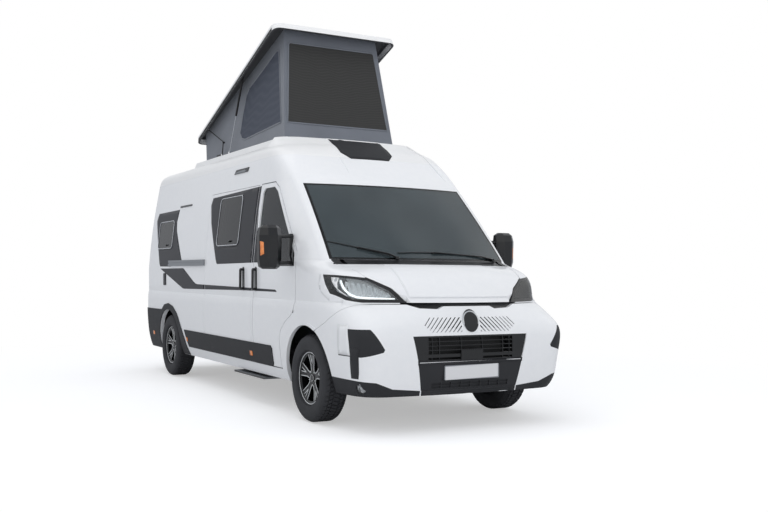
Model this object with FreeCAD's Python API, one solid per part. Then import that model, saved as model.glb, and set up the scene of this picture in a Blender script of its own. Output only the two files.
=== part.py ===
import FreeCAD, Part
import math
import os

from FreeCAD import Placement, Rotation, Vector

# A high-roof camper van with a raised pop-up roof and fabric tent.
# Millimetres. +X is the front, +Y the van's left, +Z up.
# The origin is at the middle of the whole van's footprint, on the ground.

os.makedirs("parts", exist_ok=True)

# Driving dimensions of the vehicle
WHEELBASE = 4035.0
FRONT_OVERHANG = 948.0
REAR_OVERHANG = 1015.0
FRONT_AXLE = (WHEELBASE + REAR_OVERHANG - FRONT_OVERHANG) / 2
REAR_AXLE = FRONT_AXLE - WHEELBASE
NOSE = FRONT_AXLE + FRONT_OVERHANG
TAIL = REAR_AXLE - REAR_OVERHANG
HALF_WIDTH = 1025.0
FRONT_TRACK = 1810.0
REAR_TRACK = 1790.0

# Heights of the body's horizontal lines above the ground
SILL_Z = 290.0
CREASE_Z = 1005.0
BELT_Z = 1345.0
GUTTER_Z = 2090.0
SEAM_Z = 2345.0
ROOF_Z = 2524.0
FLOOR_TOP = 560.0
FLOOR_THICK = 40.0

# Wall and panel thicknesses
WALL = 45.0
DOOR_SKIN = 18.0
DOOR_WALL = 58.0
DOOR_STEP = 14.0
REAR_DOOR_WALL = 50.0
PANEL = 22.0
GLASS = 5.0
TRIM = 8.0
HOUSING = 70.0
BUMPER_DEPTH = 30.0
INSERT_DEPTH = 24.0
GAP = 9.0
SEAT = 0.3

# Wheels
TYRE_R = 364.0
TYRE_WIDTH = 225.0
RIM_SEAT_R = 203.0
RIM_LIP_R = 220.0
RIM_WIDTH = 165.0
RIM_WALL = 8.0
RIM_FACE_OFFSET = 62.0
SPOKES = 5
SPOKE_SPREAD = 1.15
TYRE_FACETS = 56
HUB_R = 72.0
HUB_BORE_R = 31.0
STUB_R = 30.95
ARCH_R = 452.0
KINGPIN_Y = 782.0
KINGPIN_R = 12.0
KNUCKLE_FOOT_Z = 330.0

# Side windows of the living space
WINDOW_ROUND = 60.0
WINDOW_RIM = 16.0
WINDOW_PROUD = 4.0
WINDOW_DEPTH = 20.0

# Cab doors, along the van from the front axle
DOOR_FRONT = -255.0
DOOR_REAR = -1240.0
DOOR_TOP = 2078.0
DOOR_BOTTOM = 395.0
DOOR_HINGE_X = -285.0
DOOR_HINGE_IN = 15.0
DOOR_HINGE_R = 7.5
DOOR_HINGES = (960, 1215)
DOOR_LUG = 30.0

# Holes for a tow bar in the rear cross member
TOW_HOLE_R = 6.5
TOW_HOLE_OUT = 150.0
TOW_HOLE_UP = 27.5

# Pads under the long members for a jack
JACK_PAD = 15.0

# Bonnet, its edges up the slope and its hinge
BONNET_LOW = 1012.0
BONNET_HIGH = 1318.0
BONNET_HINGE_X = 110.0
BONNET_SEAM = 7.0
BONNET_HINGE_Z = 1296.0
SCUTTLE_Z = 1325.0
SCUTTLE_TOP = 1357.7
SCUTTLE_HALF = 866.0

# Sliding door, along the van from the front axle
SLIDE_FRONT = -1300.0
SLIDE_REAR = -2700.0
SLIDE_GAP = 4.0

# Rear doors
TAIL_SET_IN = 20.0
REAR_DOOR_HALF = 868.0
REAR_DOOR_MEET = 10.0
REAR_HINGE_IN = 10.0
REAR_HINGE_R = 8.0
REAR_DOOR_BOTTOM = 480.0
REAR_DOOR_TOP = 2300.0

# Pop-up roof, along the van from the front axle; the pivots of its lifting arms
ROOF_LENGTH = 2630.0
ROOF_HALF = 700.0
ROOF_DEPTH = 118.0
ROOF_CEILING = 84.0
ROOF_TILT = 19.88
ROOF_REAR_X = -4039.0
ROOF_REAR_Z = 2807.0
PLINTH_Z = 2565.0
FAIRING_TOP = 2566.0
ARM_Y = 655.0
ARM_STEP = 12.3
ARM_FOOT = (-3217.0, 2590.0)
ARM_KNEE = (-3188.0, 2733.0)
ARM_HEAD_ON_ROOF = (341.0, 20.0)
STRUT_FOOT = (-2968.0, 2590.0)
STRUT_HEAD_ON_ROOF = (1574.8, 32.5)
STRUT_TUBE = 440.0
STRUT_TUBE_R = 11.0
STRUT_ROD_R = 5.0
STRUT_BORE_R = 5.06
TENT_HALF = 620.0
TENT_WALL = 8.0


def ax(value):
    """A distance ahead of the front axle, as a place along the van."""
    return FRONT_AXLE + value


def rax(value):
    """A distance ahead of the rear axle, as a place along the van."""
    return REAR_AXLE + value


def prism(points, axis, low, high):
    """A polygon pushed along one axis; its points are in the two other axes, in order."""
    if axis == "X":
        corners = [Vector(low, a, b) for a, b in points]
        run = Vector(high - low, 0, 0)
    elif axis == "Y":
        corners = [Vector(a, low, b) for a, b in points]
        run = Vector(0, high - low, 0)
    else:
        corners = [Vector(a, b, low) for a, b in points]
        run = Vector(0, 0, high - low)
    face = Part.Face(Part.makePolygon(corners + [corners[0]]))
    return face.extrude(run)


def box(x0, x1, y0, y1, z0, z1):
    return Part.makeBox(x1 - x0, y1 - y0, z1 - z0, Vector(x0, y0, z0))


def rod(start, end, radius):
    start = Vector(*start)
    run = Vector(*end) - start
    return Part.makeCylinder(radius, run.Length, start, run)


def mirrored(shape):
    return shape.mirror(Vector(0, 0, 0), Vector(0, 1, 0))


def fused(shapes):
    whole = shapes[0]
    if len(shapes) > 1:
        whole = whole.fuse(shapes[1:])
    return whole.removeSplitter()


def save(name, shape):
    shape.exportStep("parts/" + name + ".step")


# Outer form. Each station is one level of the body: height, half width, tail set-in,
# where the side starts to turn in, front corner along and across, its rounding, and nose,
# the last five from the front axle.
LOWER = [
    (SILL_Z, 947, 12, 300, 850, 900, 190, 912),
    (470, 996, 0, 260, 900, 940, 150, 940),
    (645, 1016, 0, 250, 930, 955, 160, FRONT_OVERHANG),
    (810, HALF_WIDTH, 0, 230, 915, 958, 170, 930),
    (900, HALF_WIDTH, 0, 160, 815, 935, 190, 906),
    (965, HALF_WIDTH - 1, 0, 100, 670, 941, 165, 884),
    (CREASE_Z, HALF_WIDTH - 10, 0, 60, 560, 941, 150, 868),
]
BONNET = [
    LOWER[-1],
    (1110, 1018, 0, -20, 545, 938, 150, 785),
    (1208, 1020, 0, -100, 495, 930, 130, 665),
    (1290, 1020, 0, -180, 300, 922, 80, 490),
    (BELT_Z, 1017, 0, -250, 125, 912, 45, 312),
]
SCREEN = [
    BONNET[-1],
    (1720, 985, 4, -620, -228, 892, 40, -85),
    (GUTTER_Z, 936, 12, -950, -612, 868, 50, -485),
]
HIGH = [
    SCREEN[-1],
    (2215, 916, 16, -1050, -745, 868, 90, -660),
    (SEAM_Z, 895, 20, -1250, -890, 850, 130, -850),
]
CROWN = [
    HIGH[-1],
    (2400, 880, 28, -1350, -960, 835, 150, -915),
    (2445, 850, 50, -1430, -1030, 800, 160, -975),
    (2482, 790, 90, -1500, -1100, 735, 170, -1035),
    (2508, 700, 150, -1590, -1190, 640, 180, -1100),
    (ROOF_Z, 560, 250, -1690, -1290, 500, 180, -1200),
]


def outline(station, inset, drop):
    """The level outline of the body at one station, drawn in from the skin by an inset."""
    z, half, tail_in, turn, corner_x, corner_y, rounding, nose = station
    z = z - drop
    half = half - inset
    tail = TAIL + TAIL_SET_IN + tail_in + inset
    tail_round = 95.0
    turn = ax(turn)
    corner = Vector(ax(corner_x) - inset, corner_y - inset, z)
    nose = ax(nose) - inset
    side_end = Vector(turn, half, z)
    side_pull = Vector(turn + 0.45 * (corner.x - turn), half, z)
    back = side_pull - corner
    before = corner + back * (rounding / back.Length)
    after = Vector(corner.x, corner.y - rounding, z)
    for _ in range(4):
        front_pull = Vector(2 * nose - after.x, 0, z)
        ahead = front_pull - corner
        after = corner + ahead * (rounding / ahead.Length)
    front_pull = Vector(2 * nose - after.x, 0, z)

    def flip(point):
        return Vector(point.x, -point.y, point.z)

    def curve(*poles):
        bezier = Part.BezierCurve()
        bezier.setPoles(list(poles))
        return bezier.toShape()

    tail_side = Vector(tail + tail_round, half, z)
    tail_corner = Vector(tail, half, z)
    tail_end = Vector(tail, half - tail_round, z)
    edges = [
        curve(tail_end, tail_corner, tail_side),
        Part.makeLine(tail_side, side_end),
        curve(side_end, side_pull, before),
        curve(before, corner, after),
        curve(after, front_pull, flip(after)),
        curve(flip(after), flip(corner), flip(before)),
        curve(flip(before), flip(side_pull), flip(side_end)),
        Part.makeLine(flip(side_end), flip(tail_side)),
        curve(flip(tail_side), flip(tail_corner), flip(tail_end)),
        Part.makeLine(flip(tail_end), tail_end),
    ]
    return Part.Wire(edges)


def band(stations, inset=0.0, drop=0.0):
    """A loft through level outlines; the hidden inner faces run straight between them."""
    straight = inset > DOOR_SKIN
    return Part.makeLoft([outline(row, inset, drop) for row in stations], True, straight)


forms = {}


def body_form(inset):
    """The whole body up to the roof seam, drawn in from the skin by an inset."""
    if inset not in forms:
        forms[inset] = fused([band(rows, inset) for rows in (LOWER, BONNET, SCREEN, HIGH)])
    return forms[inset]


def layer(outer, inner, zone):
    """What a zone takes from the body between two insets."""
    return zone.common(body_form(outer)).cut(body_form(inner))


skin = body_form(0.0)
walls = skin.cut(body_form(WALL))
door_skins = skin.cut(body_form(DOOR_SKIN))
door_walls = skin.cut(body_form(DOOR_WALL))
rear_walls = skin.cut(body_form(REAR_DOOR_WALL))


def arch_cut(centre, radius, low, high):
    middle = Part.makeCylinder(radius, high - low, Vector(centre, low, 352), Vector(0, 1, 0))
    foot = box(centre - radius, centre + radius, low, high, 100, 352)
    return middle.fuse(foot)


def side_cut(points, grow=0.0):
    """A prism through the van's right side, from points along and up."""
    return prism(points, "Y", -HALF_WIDTH - 60, -760)


# Outlines on the van's side, as places along the van and up
PILLAR_SLOPE = -0.918


def pillar_x(z, ahead):
    """The line of the windscreen pillar in side view, moved ahead by a distance."""
    return ax(-159 + ahead + PILLAR_SLOPE * (z - 1267))


def cab_door_outline(grow):
    front = ax(DOOR_FRONT) + grow
    rear = ax(DOOR_REAR) - grow
    top = DOOR_TOP + grow
    low = DOOR_BOTTOM - grow
    ahead = 45 + grow * 1.3
    knee_z = 1267 + (ahead - 159 - DOOR_FRONT) / -PILLAR_SLOPE
    points = [(rear, low), (ax(-606) + grow, low), (ax(-606) + grow, 660)]
    points += [(ax(-560) + grow, 740), (ax(-450) + grow, 820), (ax(-343) + grow, 868)]
    points += [(ax(-280) + grow, 930), (front, 1000), (front, knee_z)]
    points += [(pillar_x(top - 60, ahead), top - 60), (pillar_x(top, ahead) - 55, top)]
    points += [(rear, top)]
    return points


def cab_window_outline(grow):
    """The cab door's glass."""
    rear = ax(-1185) - grow
    top = 2036 + grow
    low = 1300 - grow
    ahead = grow * 1.3
    points = [(rear, 1460), (ax(-1120) - grow, low + 60), (ax(-1050), low)]
    points += [(pillar_x(low, ahead) - 95, low), (pillar_x(low + 110, ahead), low + 110)]
    points += [(pillar_x(top - 50, ahead), top - 50), (pillar_x(top, ahead) - 45, top)]
    points += [(rear + 40, top), (rear, top - 40)]
    return points


def rectangle(x0, x1, z0, z1):
    return [(x0, z0), (x1, z0), (x1, z1), (x0, z1)]


def rounded(edges, radius, inset=0.0):
    """The outline of a window with round corners, from its rear, front, lower and upper edge."""
    x0, x1, z0, z1 = edges
    x0, x1, z0, z1 = x0 + inset, x1 - inset, z0 + inset, z1 - inset
    centres = [(x1 - radius, z1 - radius, 0), (x0 + radius, z1 - radius, 90),
               (x0 + radius, z0 + radius, 180), (x1 - radius, z0 + radius, 270)]
    points = []
    for x, z, start in centres:
        for step in range(0, 91, 15):
            turn = math.radians(start + step)
            points.append((x + radius * math.cos(turn), z + radius * math.sin(turn)))
    return points


SLIDE_WINDOW = (ax(-2371), ax(-1700), 1509, 2022)
REAR_WINDOW = (ax(-4610), ax(-3985), 1520, 1868)
slide_window_hole = rounded(SLIDE_WINDOW, WINDOW_ROUND)
rear_window_hole = rounded(REAR_WINDOW, WINDOW_ROUND)
slide_outline = rectangle(ax(SLIDE_REAR), ax(SLIDE_FRONT), DOOR_BOTTOM, DOOR_TOP)
slide_hole = rectangle(ax(SLIDE_REAR) - SLIDE_GAP, ax(SLIDE_FRONT) + SLIDE_GAP,
                       DOOR_BOTTOM - SLIDE_GAP, DOOR_TOP + SLIDE_GAP)


def right_half(shape):
    return shape.common(box(TAIL - 50, NOSE + 50, -HALF_WIDTH - 60, -740, 0, 2700))


right_walls = right_half(walls)

# Side walls, each from the cab door back round the rear corner, with its wheel arch
REAR_PANEL = [
    (TAIL - 20, SILL_Z - 20), (ax(-606), SILL_Z - 20), (ax(-606), DOOR_BOTTOM - GAP),
    (ax(DOOR_REAR) - GAP, DOOR_BOTTOM - GAP), (ax(DOOR_REAR) - GAP, SEAM_Z), (TAIL - 20, SEAM_Z),
]
side_blank = right_walls.common(side_cut(REAR_PANEL))
side_blank = side_blank.cut(arch_cut(REAR_AXLE - 10, 440, -HALF_WIDTH - 60, -700))
rear_frame_cut = box(TAIL - 60, TAIL + 200, -REAR_DOOR_HALF - GAP, 0, SILL_Z - 10, SEAM_Z)
lamp_cut = box(TAIL - 20, TAIL + 82, -HALF_WIDTH - 60, -REAR_DOOR_HALF - 32, 882, 1289)
side_blank = side_blank.cut(rear_frame_cut).cut(lamp_cut)
window_cut = side_cut(rear_window_hole)
side_wall = side_blank.cut(window_cut)
HINGE_X = TAIL + REAR_HINGE_IN
HINGE_Y = REAR_DOOR_HALF + GAP / 2
REAR_HINGES = (640, 1330, 2120)


def barrel(z0, z1):
    return rod((HINGE_X, -HINGE_Y, z0), (HINGE_X, -HINGE_Y, z1), REAR_HINGE_R)


hinge_lugs = []
for z in REAR_HINGES:
    hinge_lugs.append(barrel(z - 60.3, z - 30.3))
    lug = box(HINGE_X - 5, TAIL + 60, -HINGE_Y - 8, -HINGE_Y - 4.5, z - 60.3, z - 30.3)
    hinge_lugs.append(lug)
side_wall = side_wall.fuse([piece.cut(skin) for piece in hinge_lugs]).removeSplitter()
save("side_wall_right", side_wall.cut(side_cut(slide_hole)))
save("side_wall_left", mirrored(side_wall.cut(side_cut(slide_window_hole))))

# Sliding door, closed, with its window cut
sliding = right_walls.common(side_cut(slide_outline)).cut(side_cut(slide_window_hole))
save("sliding_door", sliding)

# Tail lamps, one in each rear corner
lamp_box = box(TAIL - 20, TAIL + 81.7, -HALF_WIDTH - 60, -REAR_DOOR_HALF - 32.3, 882.3, 1288.7)
tail_lamp = right_walls.common(lamp_box)
save("tail_lamps", Part.makeCompound([tail_lamp, mirrored(tail_lamp)]))


# Hinged windows of the living space: a domed acrylic pane proud of its frame
def framed_window(edges):
    seat = side_cut(rounded(edges, WINDOW_ROUND - SEAT, SEAT))
    frame = layer(-WINDOW_PROUD, WINDOW_DEPTH, seat)
    sight = side_cut(rounded(edges, WINDOW_ROUND - WINDOW_RIM, WINDOW_RIM))
    return frame.cut(layer(-WINDOW_PROUD - 1, -WINDOW_PROUD + 3, sight))


slide_window = framed_window(SLIDE_WINDOW)
rear_window = framed_window(REAR_WINDOW)
save("side_windows", Part.makeCompound(
    [slide_window, rear_window, mirrored(slide_window), mirrored(rear_window)]))

# Two shallow recesses over the windscreen, fading out above it, between ridges that run to the roof
RECESS_FRONT = [(-345, 2110), (-322, 2200), (-288, 2580), (-668, 2580), (-742, 2200), (-765, 2110)]
RECESS_DEPTHS = (-8.0, 7.0, 10.0)


def recess_zone(low, high):
    return prism(RECESS_FRONT, "X", ax(-1375), ax(-400)).common(box(ax(-1375), ax(-400), -900, 0, low, high))


# Cab shell: windscreen frame, pillars, door header and the front of the high roof
cab_zone = [
    (ax(DOOR_REAR) - GAP + 0.3, DOOR_TOP - 200), (ax(DOOR_REAR) - GAP + 0.3, SEAM_Z),
    (ax(420), SEAM_Z), (ax(420), SCUTTLE_TOP + SEAT), (ax(DOOR_FRONT) + GAP, SCUTTLE_TOP + SEAT), (ax(DOOR_FRONT) + GAP, 1005),
    (ax(DOOR_FRONT) - 120, 1005), (ax(DOOR_FRONT) - 120, 1400), (ax(-900), DOOR_TOP - 200),
]
cab_shell = walls.common(prism(cab_zone, "Y", -HALF_WIDTH - 60, HALF_WIDTH + 60))
door_hole = prism(cab_door_outline(GAP), "Y", -HALF_WIDTH - 60, -700)
cab_shell = cab_shell.cut(door_hole).cut(mirrored(door_hole))
# The windscreen's opening, seen from the front and stopped behind by the pillars
SCREEN_HOLE = [(-878, SCUTTLE_TOP + 0.6), (878, SCUTTLE_TOP + 0.6), (822, 2048), (-822, 2048)]
screen_zone = [
    (ax(400), SCUTTLE_TOP + 0.6), (ax(-35), SCUTTLE_TOP + 0.6), (ax(-330), 1640), (ax(-720), 2060), (ax(-420), 2085), (ax(450), 1500),
]
screen_cut = prism(SCREEN_HOLE, "X", ax(-1000), ax(500)).common(
    prism(screen_zone, "Y", -HALF_WIDTH, HALF_WIDTH))
cab_shell = cab_shell.cut(screen_cut)
front_recess = recess_zone(2110, SEAM_Z)
front_recess = front_recess.cut(Part.makeLoft(
    [outline(row, inset, 0.0) for row, inset in zip(HIGH, RECESS_DEPTHS)], True, False))
cab_shell = cab_shell.cut(front_recess).cut(mirrored(front_recess))
hinge_x = ax(DOOR_HINGE_X)
hinge_y = -HALF_WIDTH + DOOR_HINGE_IN
pillar = box(ax(DOOR_FRONT) + 15, ax(DOOR_FRONT) + 75, hinge_y + 30, hinge_y + 90, 815, 1390)
necks = []
for z in DOOR_HINGES:
    low, high = z - DOOR_LUG / 2, z + DOOR_LUG / 2
    necks.append(rod((hinge_x, hinge_y, low), (hinge_x, hinge_y, high), DOOR_HINGE_R))
    necks.append(box(hinge_x - 6, hinge_x + 6, hinge_y, hinge_y + 60, low, high))
    necks.append(box(hinge_x - 6, ax(DOOR_FRONT) + 20, hinge_y + 45, hinge_y + 60, low, high))
pillar = fused([pillar] + necks)
cab_shell = fused([cab_shell, pillar, mirrored(pillar)])
save("cab_shell", cab_shell)
screen_glass = layer(0.0, 7.0, screen_cut)
save("windscreen", screen_glass)

# Cab doors: a full skin with a stepped inner door, and the window cut through
door_area = prism(cab_door_outline(0.0), "Y", -HALF_WIDTH - 60, -700)
inner_area = prism(cab_door_outline(-DOOR_STEP), "Y", -HALF_WIDTH - 60, -700)
door_shell = door_skins.common(door_area)
door_inner = door_walls.cut(door_skins).common(inner_area)
cab_door = fused([door_shell, door_inner]).cut(
    prism(cab_window_outline(0.0), "Y", -HALF_WIDTH - 60, -700))
for z in DOOR_HINGES:
    low, high = z - DOOR_LUG / 2 - SEAT, z + DOOR_LUG / 2 + SEAT
    cab_door = cab_door.cut(box(hinge_x - 15, ax(DOOR_FRONT) + 5, hinge_y - DOOR_HINGE_R - SEAT, -800, low, high))
save("cab_door_right", cab_door)
save("cab_door_left", mirrored(cab_door))
door_glass = layer(DOOR_SKIN - GLASS, DOOR_SKIN, prism(cab_window_outline(-0.5), "Y", -HALF_WIDTH - 60, -700))
save("door_glass_right", door_glass)
save("door_glass_left", mirrored(door_glass))


# Mirrors on two arms, and door handles
def handle(x):
    grip = rod((x, -HALF_WIDTH - 26, 1085), (x, -HALF_WIDTH - 26, 1270), 12)
    lower = rod((x, -HALF_WIDTH + 2, 1085), (x, -HALF_WIDTH - 30, 1085), 13)
    upper = rod((x, -HALF_WIDTH + 4, 1270), (x, -HALF_WIDTH - 30, 1270), 13)
    return fused([grip, lower, upper])


# A deep mirror housing, narrower at its top and foot, on two arms from a plate at the door's corner
def mirror_ring(z, rear, front, outer, inner):
    bend = 0.45 * (front - rear)
    corners = [(rear, outer + 12), (rear, inner - 12), (rear + 12, inner), (front - bend, inner),
               (front, inner - bend), (front, outer + bend), (front - bend, outer), (rear + 12, outer)]
    points = [Vector(x, y, z) for x, y in corners]
    return Part.makePolygon(points + [points[0]])


MIRROR_REAR = ax(-380)
mirror_head = Part.makeLoft([
    mirror_ring(1272, MIRROR_REAR + 20, ax(-300), -1285, -1160),
    mirror_ring(1290, MIRROR_REAR, ax(-275), -1312, -1137),
    mirror_ring(1360, MIRROR_REAR, ax(-252), -1328, -1125),
    mirror_ring(1560, MIRROR_REAR, ax(-248), -1330, -1125),
    mirror_ring(1622, MIRROR_REAR, ax(-265), -1318, -1134),
    mirror_ring(1646, MIRROR_REAR + 25, ax(-305), -1290, -1160),
], True, True)
mirror_face = box(MIRROR_REAR - 2, MIRROR_REAR + 8, -1312, -1143, 1312, 1600)
mirror_foot = prism([(ax(-372), 1300), (ax(-295), 1300), (ax(-372), 1430)], "Y", -1034, -1005)
mirror_upper = box(ax(-372), ax(-350), -1034, -1000, 1300, 1580)
mirror_arms = [
    rod((ax(-361), -1000, 1560), (ax(-330), -1140, 1552), 14),
    rod((ax(-335), -1015, 1330), (ax(-320), -1140, 1322), 16),
]
mirror = fused([mirror_head, mirror_foot, mirror_upper] + mirror_arms).cut(mirror_face).cut(skin)
cab_handle = handle(ax(-1180)).cut(skin)
hardware = Part.makeCompound([mirror, cab_handle])
save("door_hardware_right", hardware)
save("door_hardware_left", mirrored(hardware))
slide_handle = handle(ax(-1512)).cut(skin)

# Rail cover behind the sliding door, and the door's handle
rail = layer(-22.0, 0.0, side_cut(rectangle(ax(-4035), ax(-2705), 1312, 1378)))
rail = rail.cut(layer(-26.0, -14.0, side_cut(rectangle(ax(-4036), ax(-2765), 1338, 1352))))
upper_rail = layer(-6.0, 0.0, side_cut(rectangle(ax(-3830), ax(-3390), 2004, 2024)))
awning_lamp = layer(-7.0, 0.0, side_cut([(ax(-2084), 2249), (ax(-1700), 2249), (ax(-1678), 2292), (ax(-2040), 2292)]))
save("slide_rail", Part.makeCompound([rail, upper_rail, slide_handle]))
save("awning_lamp", awning_lamp)

# Front wings, behind the lamps and round the front arches
wing_side = [
    (ax(-606) + SEAT, SILL_Z - 10), (ax(-606) + SEAT, SCUTTLE_TOP), (ax(430), SCUTTLE_TOP), (ax(900), CREASE_Z),
    (ax(640), 1001), (ax(350), 844), (ax(100), 749), (ax(-32), 352), (ax(-32), SILL_Z - 10),
]
wing_blank = layer(0.0, PANEL, prism(wing_side, "Y", -HALF_WIDTH - 60, -560))
arch_lip = arch_cut(ax(-32), ARCH_R + 26, -HALF_WIDTH - 60, -900)
wing_blank = wing_blank.fuse(layer(-6.0, 1.0, arch_lip.common(prism(wing_side, "Y", -HALF_WIDTH - 60, -900))))
wing_blank = wing_blank.cut(door_hole).cut(arch_cut(ax(-32), ARCH_R, -HALF_WIDTH - 60, -500))


# Headlamps, cut from the same form as the wings and bonnet
LAMP_TOP = [(-505, 1010), (-600, 1120), (-760, 1205), (-1040, 1236)]
LAMP_UNDER = [(-1040, 1118), (-900, 1010), (-505, 1010)]
LAMP_REAR = [(ax(205), 1260), (ax(215), 1110), (ax(420), 1050), (ax(640), 1006)]


def lamp_zone(grow):
    front = [(y + grow, z + grow) for y, z in LAMP_TOP] + [(y, z - grow) for y, z in LAMP_UNDER]
    side = [(x - grow, z - grow) for x, z in LAMP_REAR] + [(ax(900), 1006 - grow), (ax(900), 1260)]
    return prism(front, "X", ax(100), ax(1000)).common(prism(side, "Y", -HALF_WIDTH - 60, -400))


LAMP_SIGHT = [(-565, 1036), (-625, 1106), (-765, 1186), (-1000, 1216), (-1000, 1126), (-890, 1036)]
LAMP_SIGHT_REAR = 238.0
LAMP_MODULES = [(-632, 1066), (-700, 1088), (-768, 1106), (-836, 1120)]


def sight_zone(shrink):
    """The clear part of the lamp, drawn in at its edges."""
    tip, middle, top, rear, low_rear, low = LAMP_SIGHT
    front = [(tip[0] - 2 * shrink, tip[1] + shrink), (middle[0] - shrink, middle[1] - shrink)]
    front += [(top[0], top[1] - shrink), (rear[0], rear[1] - shrink)]
    front += [(low_rear[0], low_rear[1] + shrink), (low[0], low[1] + shrink)]
    return prism(front, "X", ax(LAMP_SIGHT_REAR) + shrink, ax(1000))


lamp_body = layer(0.0, HOUSING, lamp_zone(0.0)).cut(layer(-1.0, HOUSING - 6.0, sight_zone(0.0)))
lamp_inner = []
for y, z in LAMP_MODULES:
    module = prism([(y - 24, z - 18), (y + 24, z - 10), (y + 24, z + 22), (y - 24, z + 14)], "X", ax(250), ax(900))
    lamp_inner.append(layer(34.0, HOUSING - 5.0, module))
light_blade = [(-590, 1042), (-590, 1050), (-880, 1050), (-975, 1122), (-985, 1122), (-888, 1041)]
lamp_inner.append(layer(14.0, HOUSING - 5.0, prism(light_blade, "X", ax(255), ax(900))))
lamp_body = fused([lamp_body] + lamp_inner)
lamp_lens = layer(0.5, 4.0, sight_zone(SEAT))
save("lamp_lenses", Part.makeCompound([lamp_lens, mirrored(lamp_lens)]))
save("headlamps", Part.makeCompound([lamp_body, mirrored(lamp_body)]))

# Bonnet: the panel between the wings, from the lip back to the scuttle
def level_between(low, high, z):
    """A station between two of the body's stations."""
    share = (z - low[0]) / (high[0] - low[0])
    return tuple(a + (b - a) * share for a, b in zip(low, high))


def inside_seam(inset):
    """All that lies behind the bonnet's rear edge, seen from above."""
    row = level_between(BONNET[-2], BONNET[-1], BONNET_HIGH)
    return Part.Face(outline(row, inset, 100.0)).extrude(Vector(0, 0, 300))


BONNET_PLAN = [
    (ax(195), -876), (ax(215), -880), (ax(245), -842), (ax(577), -752), (ax(699), -592), (ax(745), -500),
    (ax(860), -430), (ax(1000), -300),
]
bonnet_plan = BONNET_PLAN + [(x, -y) for x, y in reversed(BONNET_PLAN)]
bonnet_panel = band(BONNET).cut(band(BONNET, 14.0, 14.0)).common(
    prism(bonnet_plan, "Z", BONNET_LOW, BONNET_HIGH))
bonnet_panel = bonnet_panel.cut(inside_seam(0.0)).cut(lamp_zone(5.0)).cut(mirrored(lamp_zone(5.0)))
bonnet_arm = box(ax(BONNET_HINGE_X), ax(345), -790, -780, BONNET_HINGE_Z - 9, BONNET_HINGE_Z + 9)
bonnet_arm = bonnet_arm.common(band(BONNET, 8.0, 8.0)).fuse(
    rod((ax(BONNET_HINGE_X), -790, BONNET_HINGE_Z), (ax(BONNET_HINGE_X), -780, BONNET_HINGE_Z), 9))
PRESSING_LOW = 1058.0
pressing = []
for rise, spread in ((3.0, 6.0), (6.0, 0.0)):
    half_plan = [(ax(200), -470 - spread), (ax(500), -484 - spread), (ax(660), -497 - spread),
                 (ax(1000), -440 - spread)]
    plan = half_plan + [(x, -y) for x, y in reversed(half_plan)]
    pressing.append(band(BONNET, -rise, -rise).common(prism(plan, "Z", PRESSING_LOW - spread, BONNET_HIGH)))
pressing = [piece.cut(band(BONNET, 4.0, 4.0)).cut(inside_seam(0.0)) for piece in pressing]
bonnet_panel = fused([bonnet_panel, bonnet_arm, mirrored(bonnet_arm)] + pressing)
save("bonnet", bonnet_panel)
wide_half = [(ax(188), -881)] + [(x, y - 5) for x, y in BONNET_PLAN[1:]]
wide_plan = wide_half + [(x, -y) for x, y in reversed(wide_half)]
scuttle_seat = box(ax(-160), ax(430), -SCUTTLE_HALF - SEAT, 0, BONNET_HINGE_Z - 40, SCUTTLE_TOP + 10)
scuttle_seat = scuttle_seat.common(inside_seam(BONNET_SEAM - SEAT))
wing = wing_blank.cut(prism(wide_plan, "Z", 900, 1500)).cut(lamp_zone(SEAT)).cut(scuttle_seat)
# The door's front corner swings past the wing's rear edge, which is cut back there
wing = wing.cut(rod((hinge_x, hinge_y, 895), (hinge_x, hinge_y, 965), 20))
wing = fused([solid for solid in wing.Solids if solid.Volume > 1000.0])
save("front_wings", Part.makeCompound([wing, mirrored(wing)]))

# Scuttle panel under the windscreen, with two wipers lying on the glass
scuttle = skin.common(fused([
    box(ax(-150), ax(140), -SCUTTLE_HALF, SCUTTLE_HALF, SCUTTLE_Z, SCUTTLE_TOP),
    box(ax(135), ax(430), -SCUTTLE_HALF, SCUTTLE_HALF, SCUTTLE_Z - 13, SCUTTLE_TOP)]))
scuttle = scuttle.common(inside_seam(BONNET_SEAM))
for side in (-1, 1):
    scuttle = scuttle.cut(box(ax(60), ax(430), side * 785 - 17, side * 785 + 17, SCUTTLE_Z - 30, 1360))
save("scuttle", scuttle)

# Front bumper with openings for the grille, the lower intake and the corner pads
bumper_side = [
    (ax(100), SILL_Z - 10), (ax(100), 745), (ax(350), 840), (ax(640), 997), (ax(1000), 997),
    (ax(1000), SILL_Z - 10),
]
bumper_zone = prism(bumper_side, "Y", -HALF_WIDTH - 60, HALF_WIDTH + 60)
bumper = layer(0.0, BUMPER_DEPTH, bumper_zone)
arch_front = arch_cut(ax(-32), ARCH_R, -HALF_WIDTH - 60, -500)
bumper = bumper.cut(arch_front).cut(mirrored(arch_front))
GRILLE_HOLE = [(-545, 756), (545, 756), (495, 552), (-495, 552)]
LOWER_HOLE = [(-495, 540), (495, 540), (455, 330), (-455, 330)]
grille_cut = prism(GRILLE_HOLE, "X", ax(600), ax(1000))
lower_cut = prism(LOWER_HOLE, "X", ax(600), ax(1000))
PAD_FRONT = [
    (-985, 812), (-895, 814), (-790, 660), (-800, 640), (-950, 600), (-1060, 600), (-1060, 812),
]
pad_zone = prism(PAD_FRONT, "X", ax(560), ax(1000))
CORNER_FRONT = [
    (-1060, 430), (-935, 414), (-840, 406), (-700, 352), (-460, 330), (-460, 270), (-1060, 270)]
corner_zone = prism(CORNER_FRONT, "X", ax(390), ax(1000))
trim_zone = fused([pad_zone, mirrored(pad_zone), corner_zone, mirrored(corner_zone)])
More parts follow.
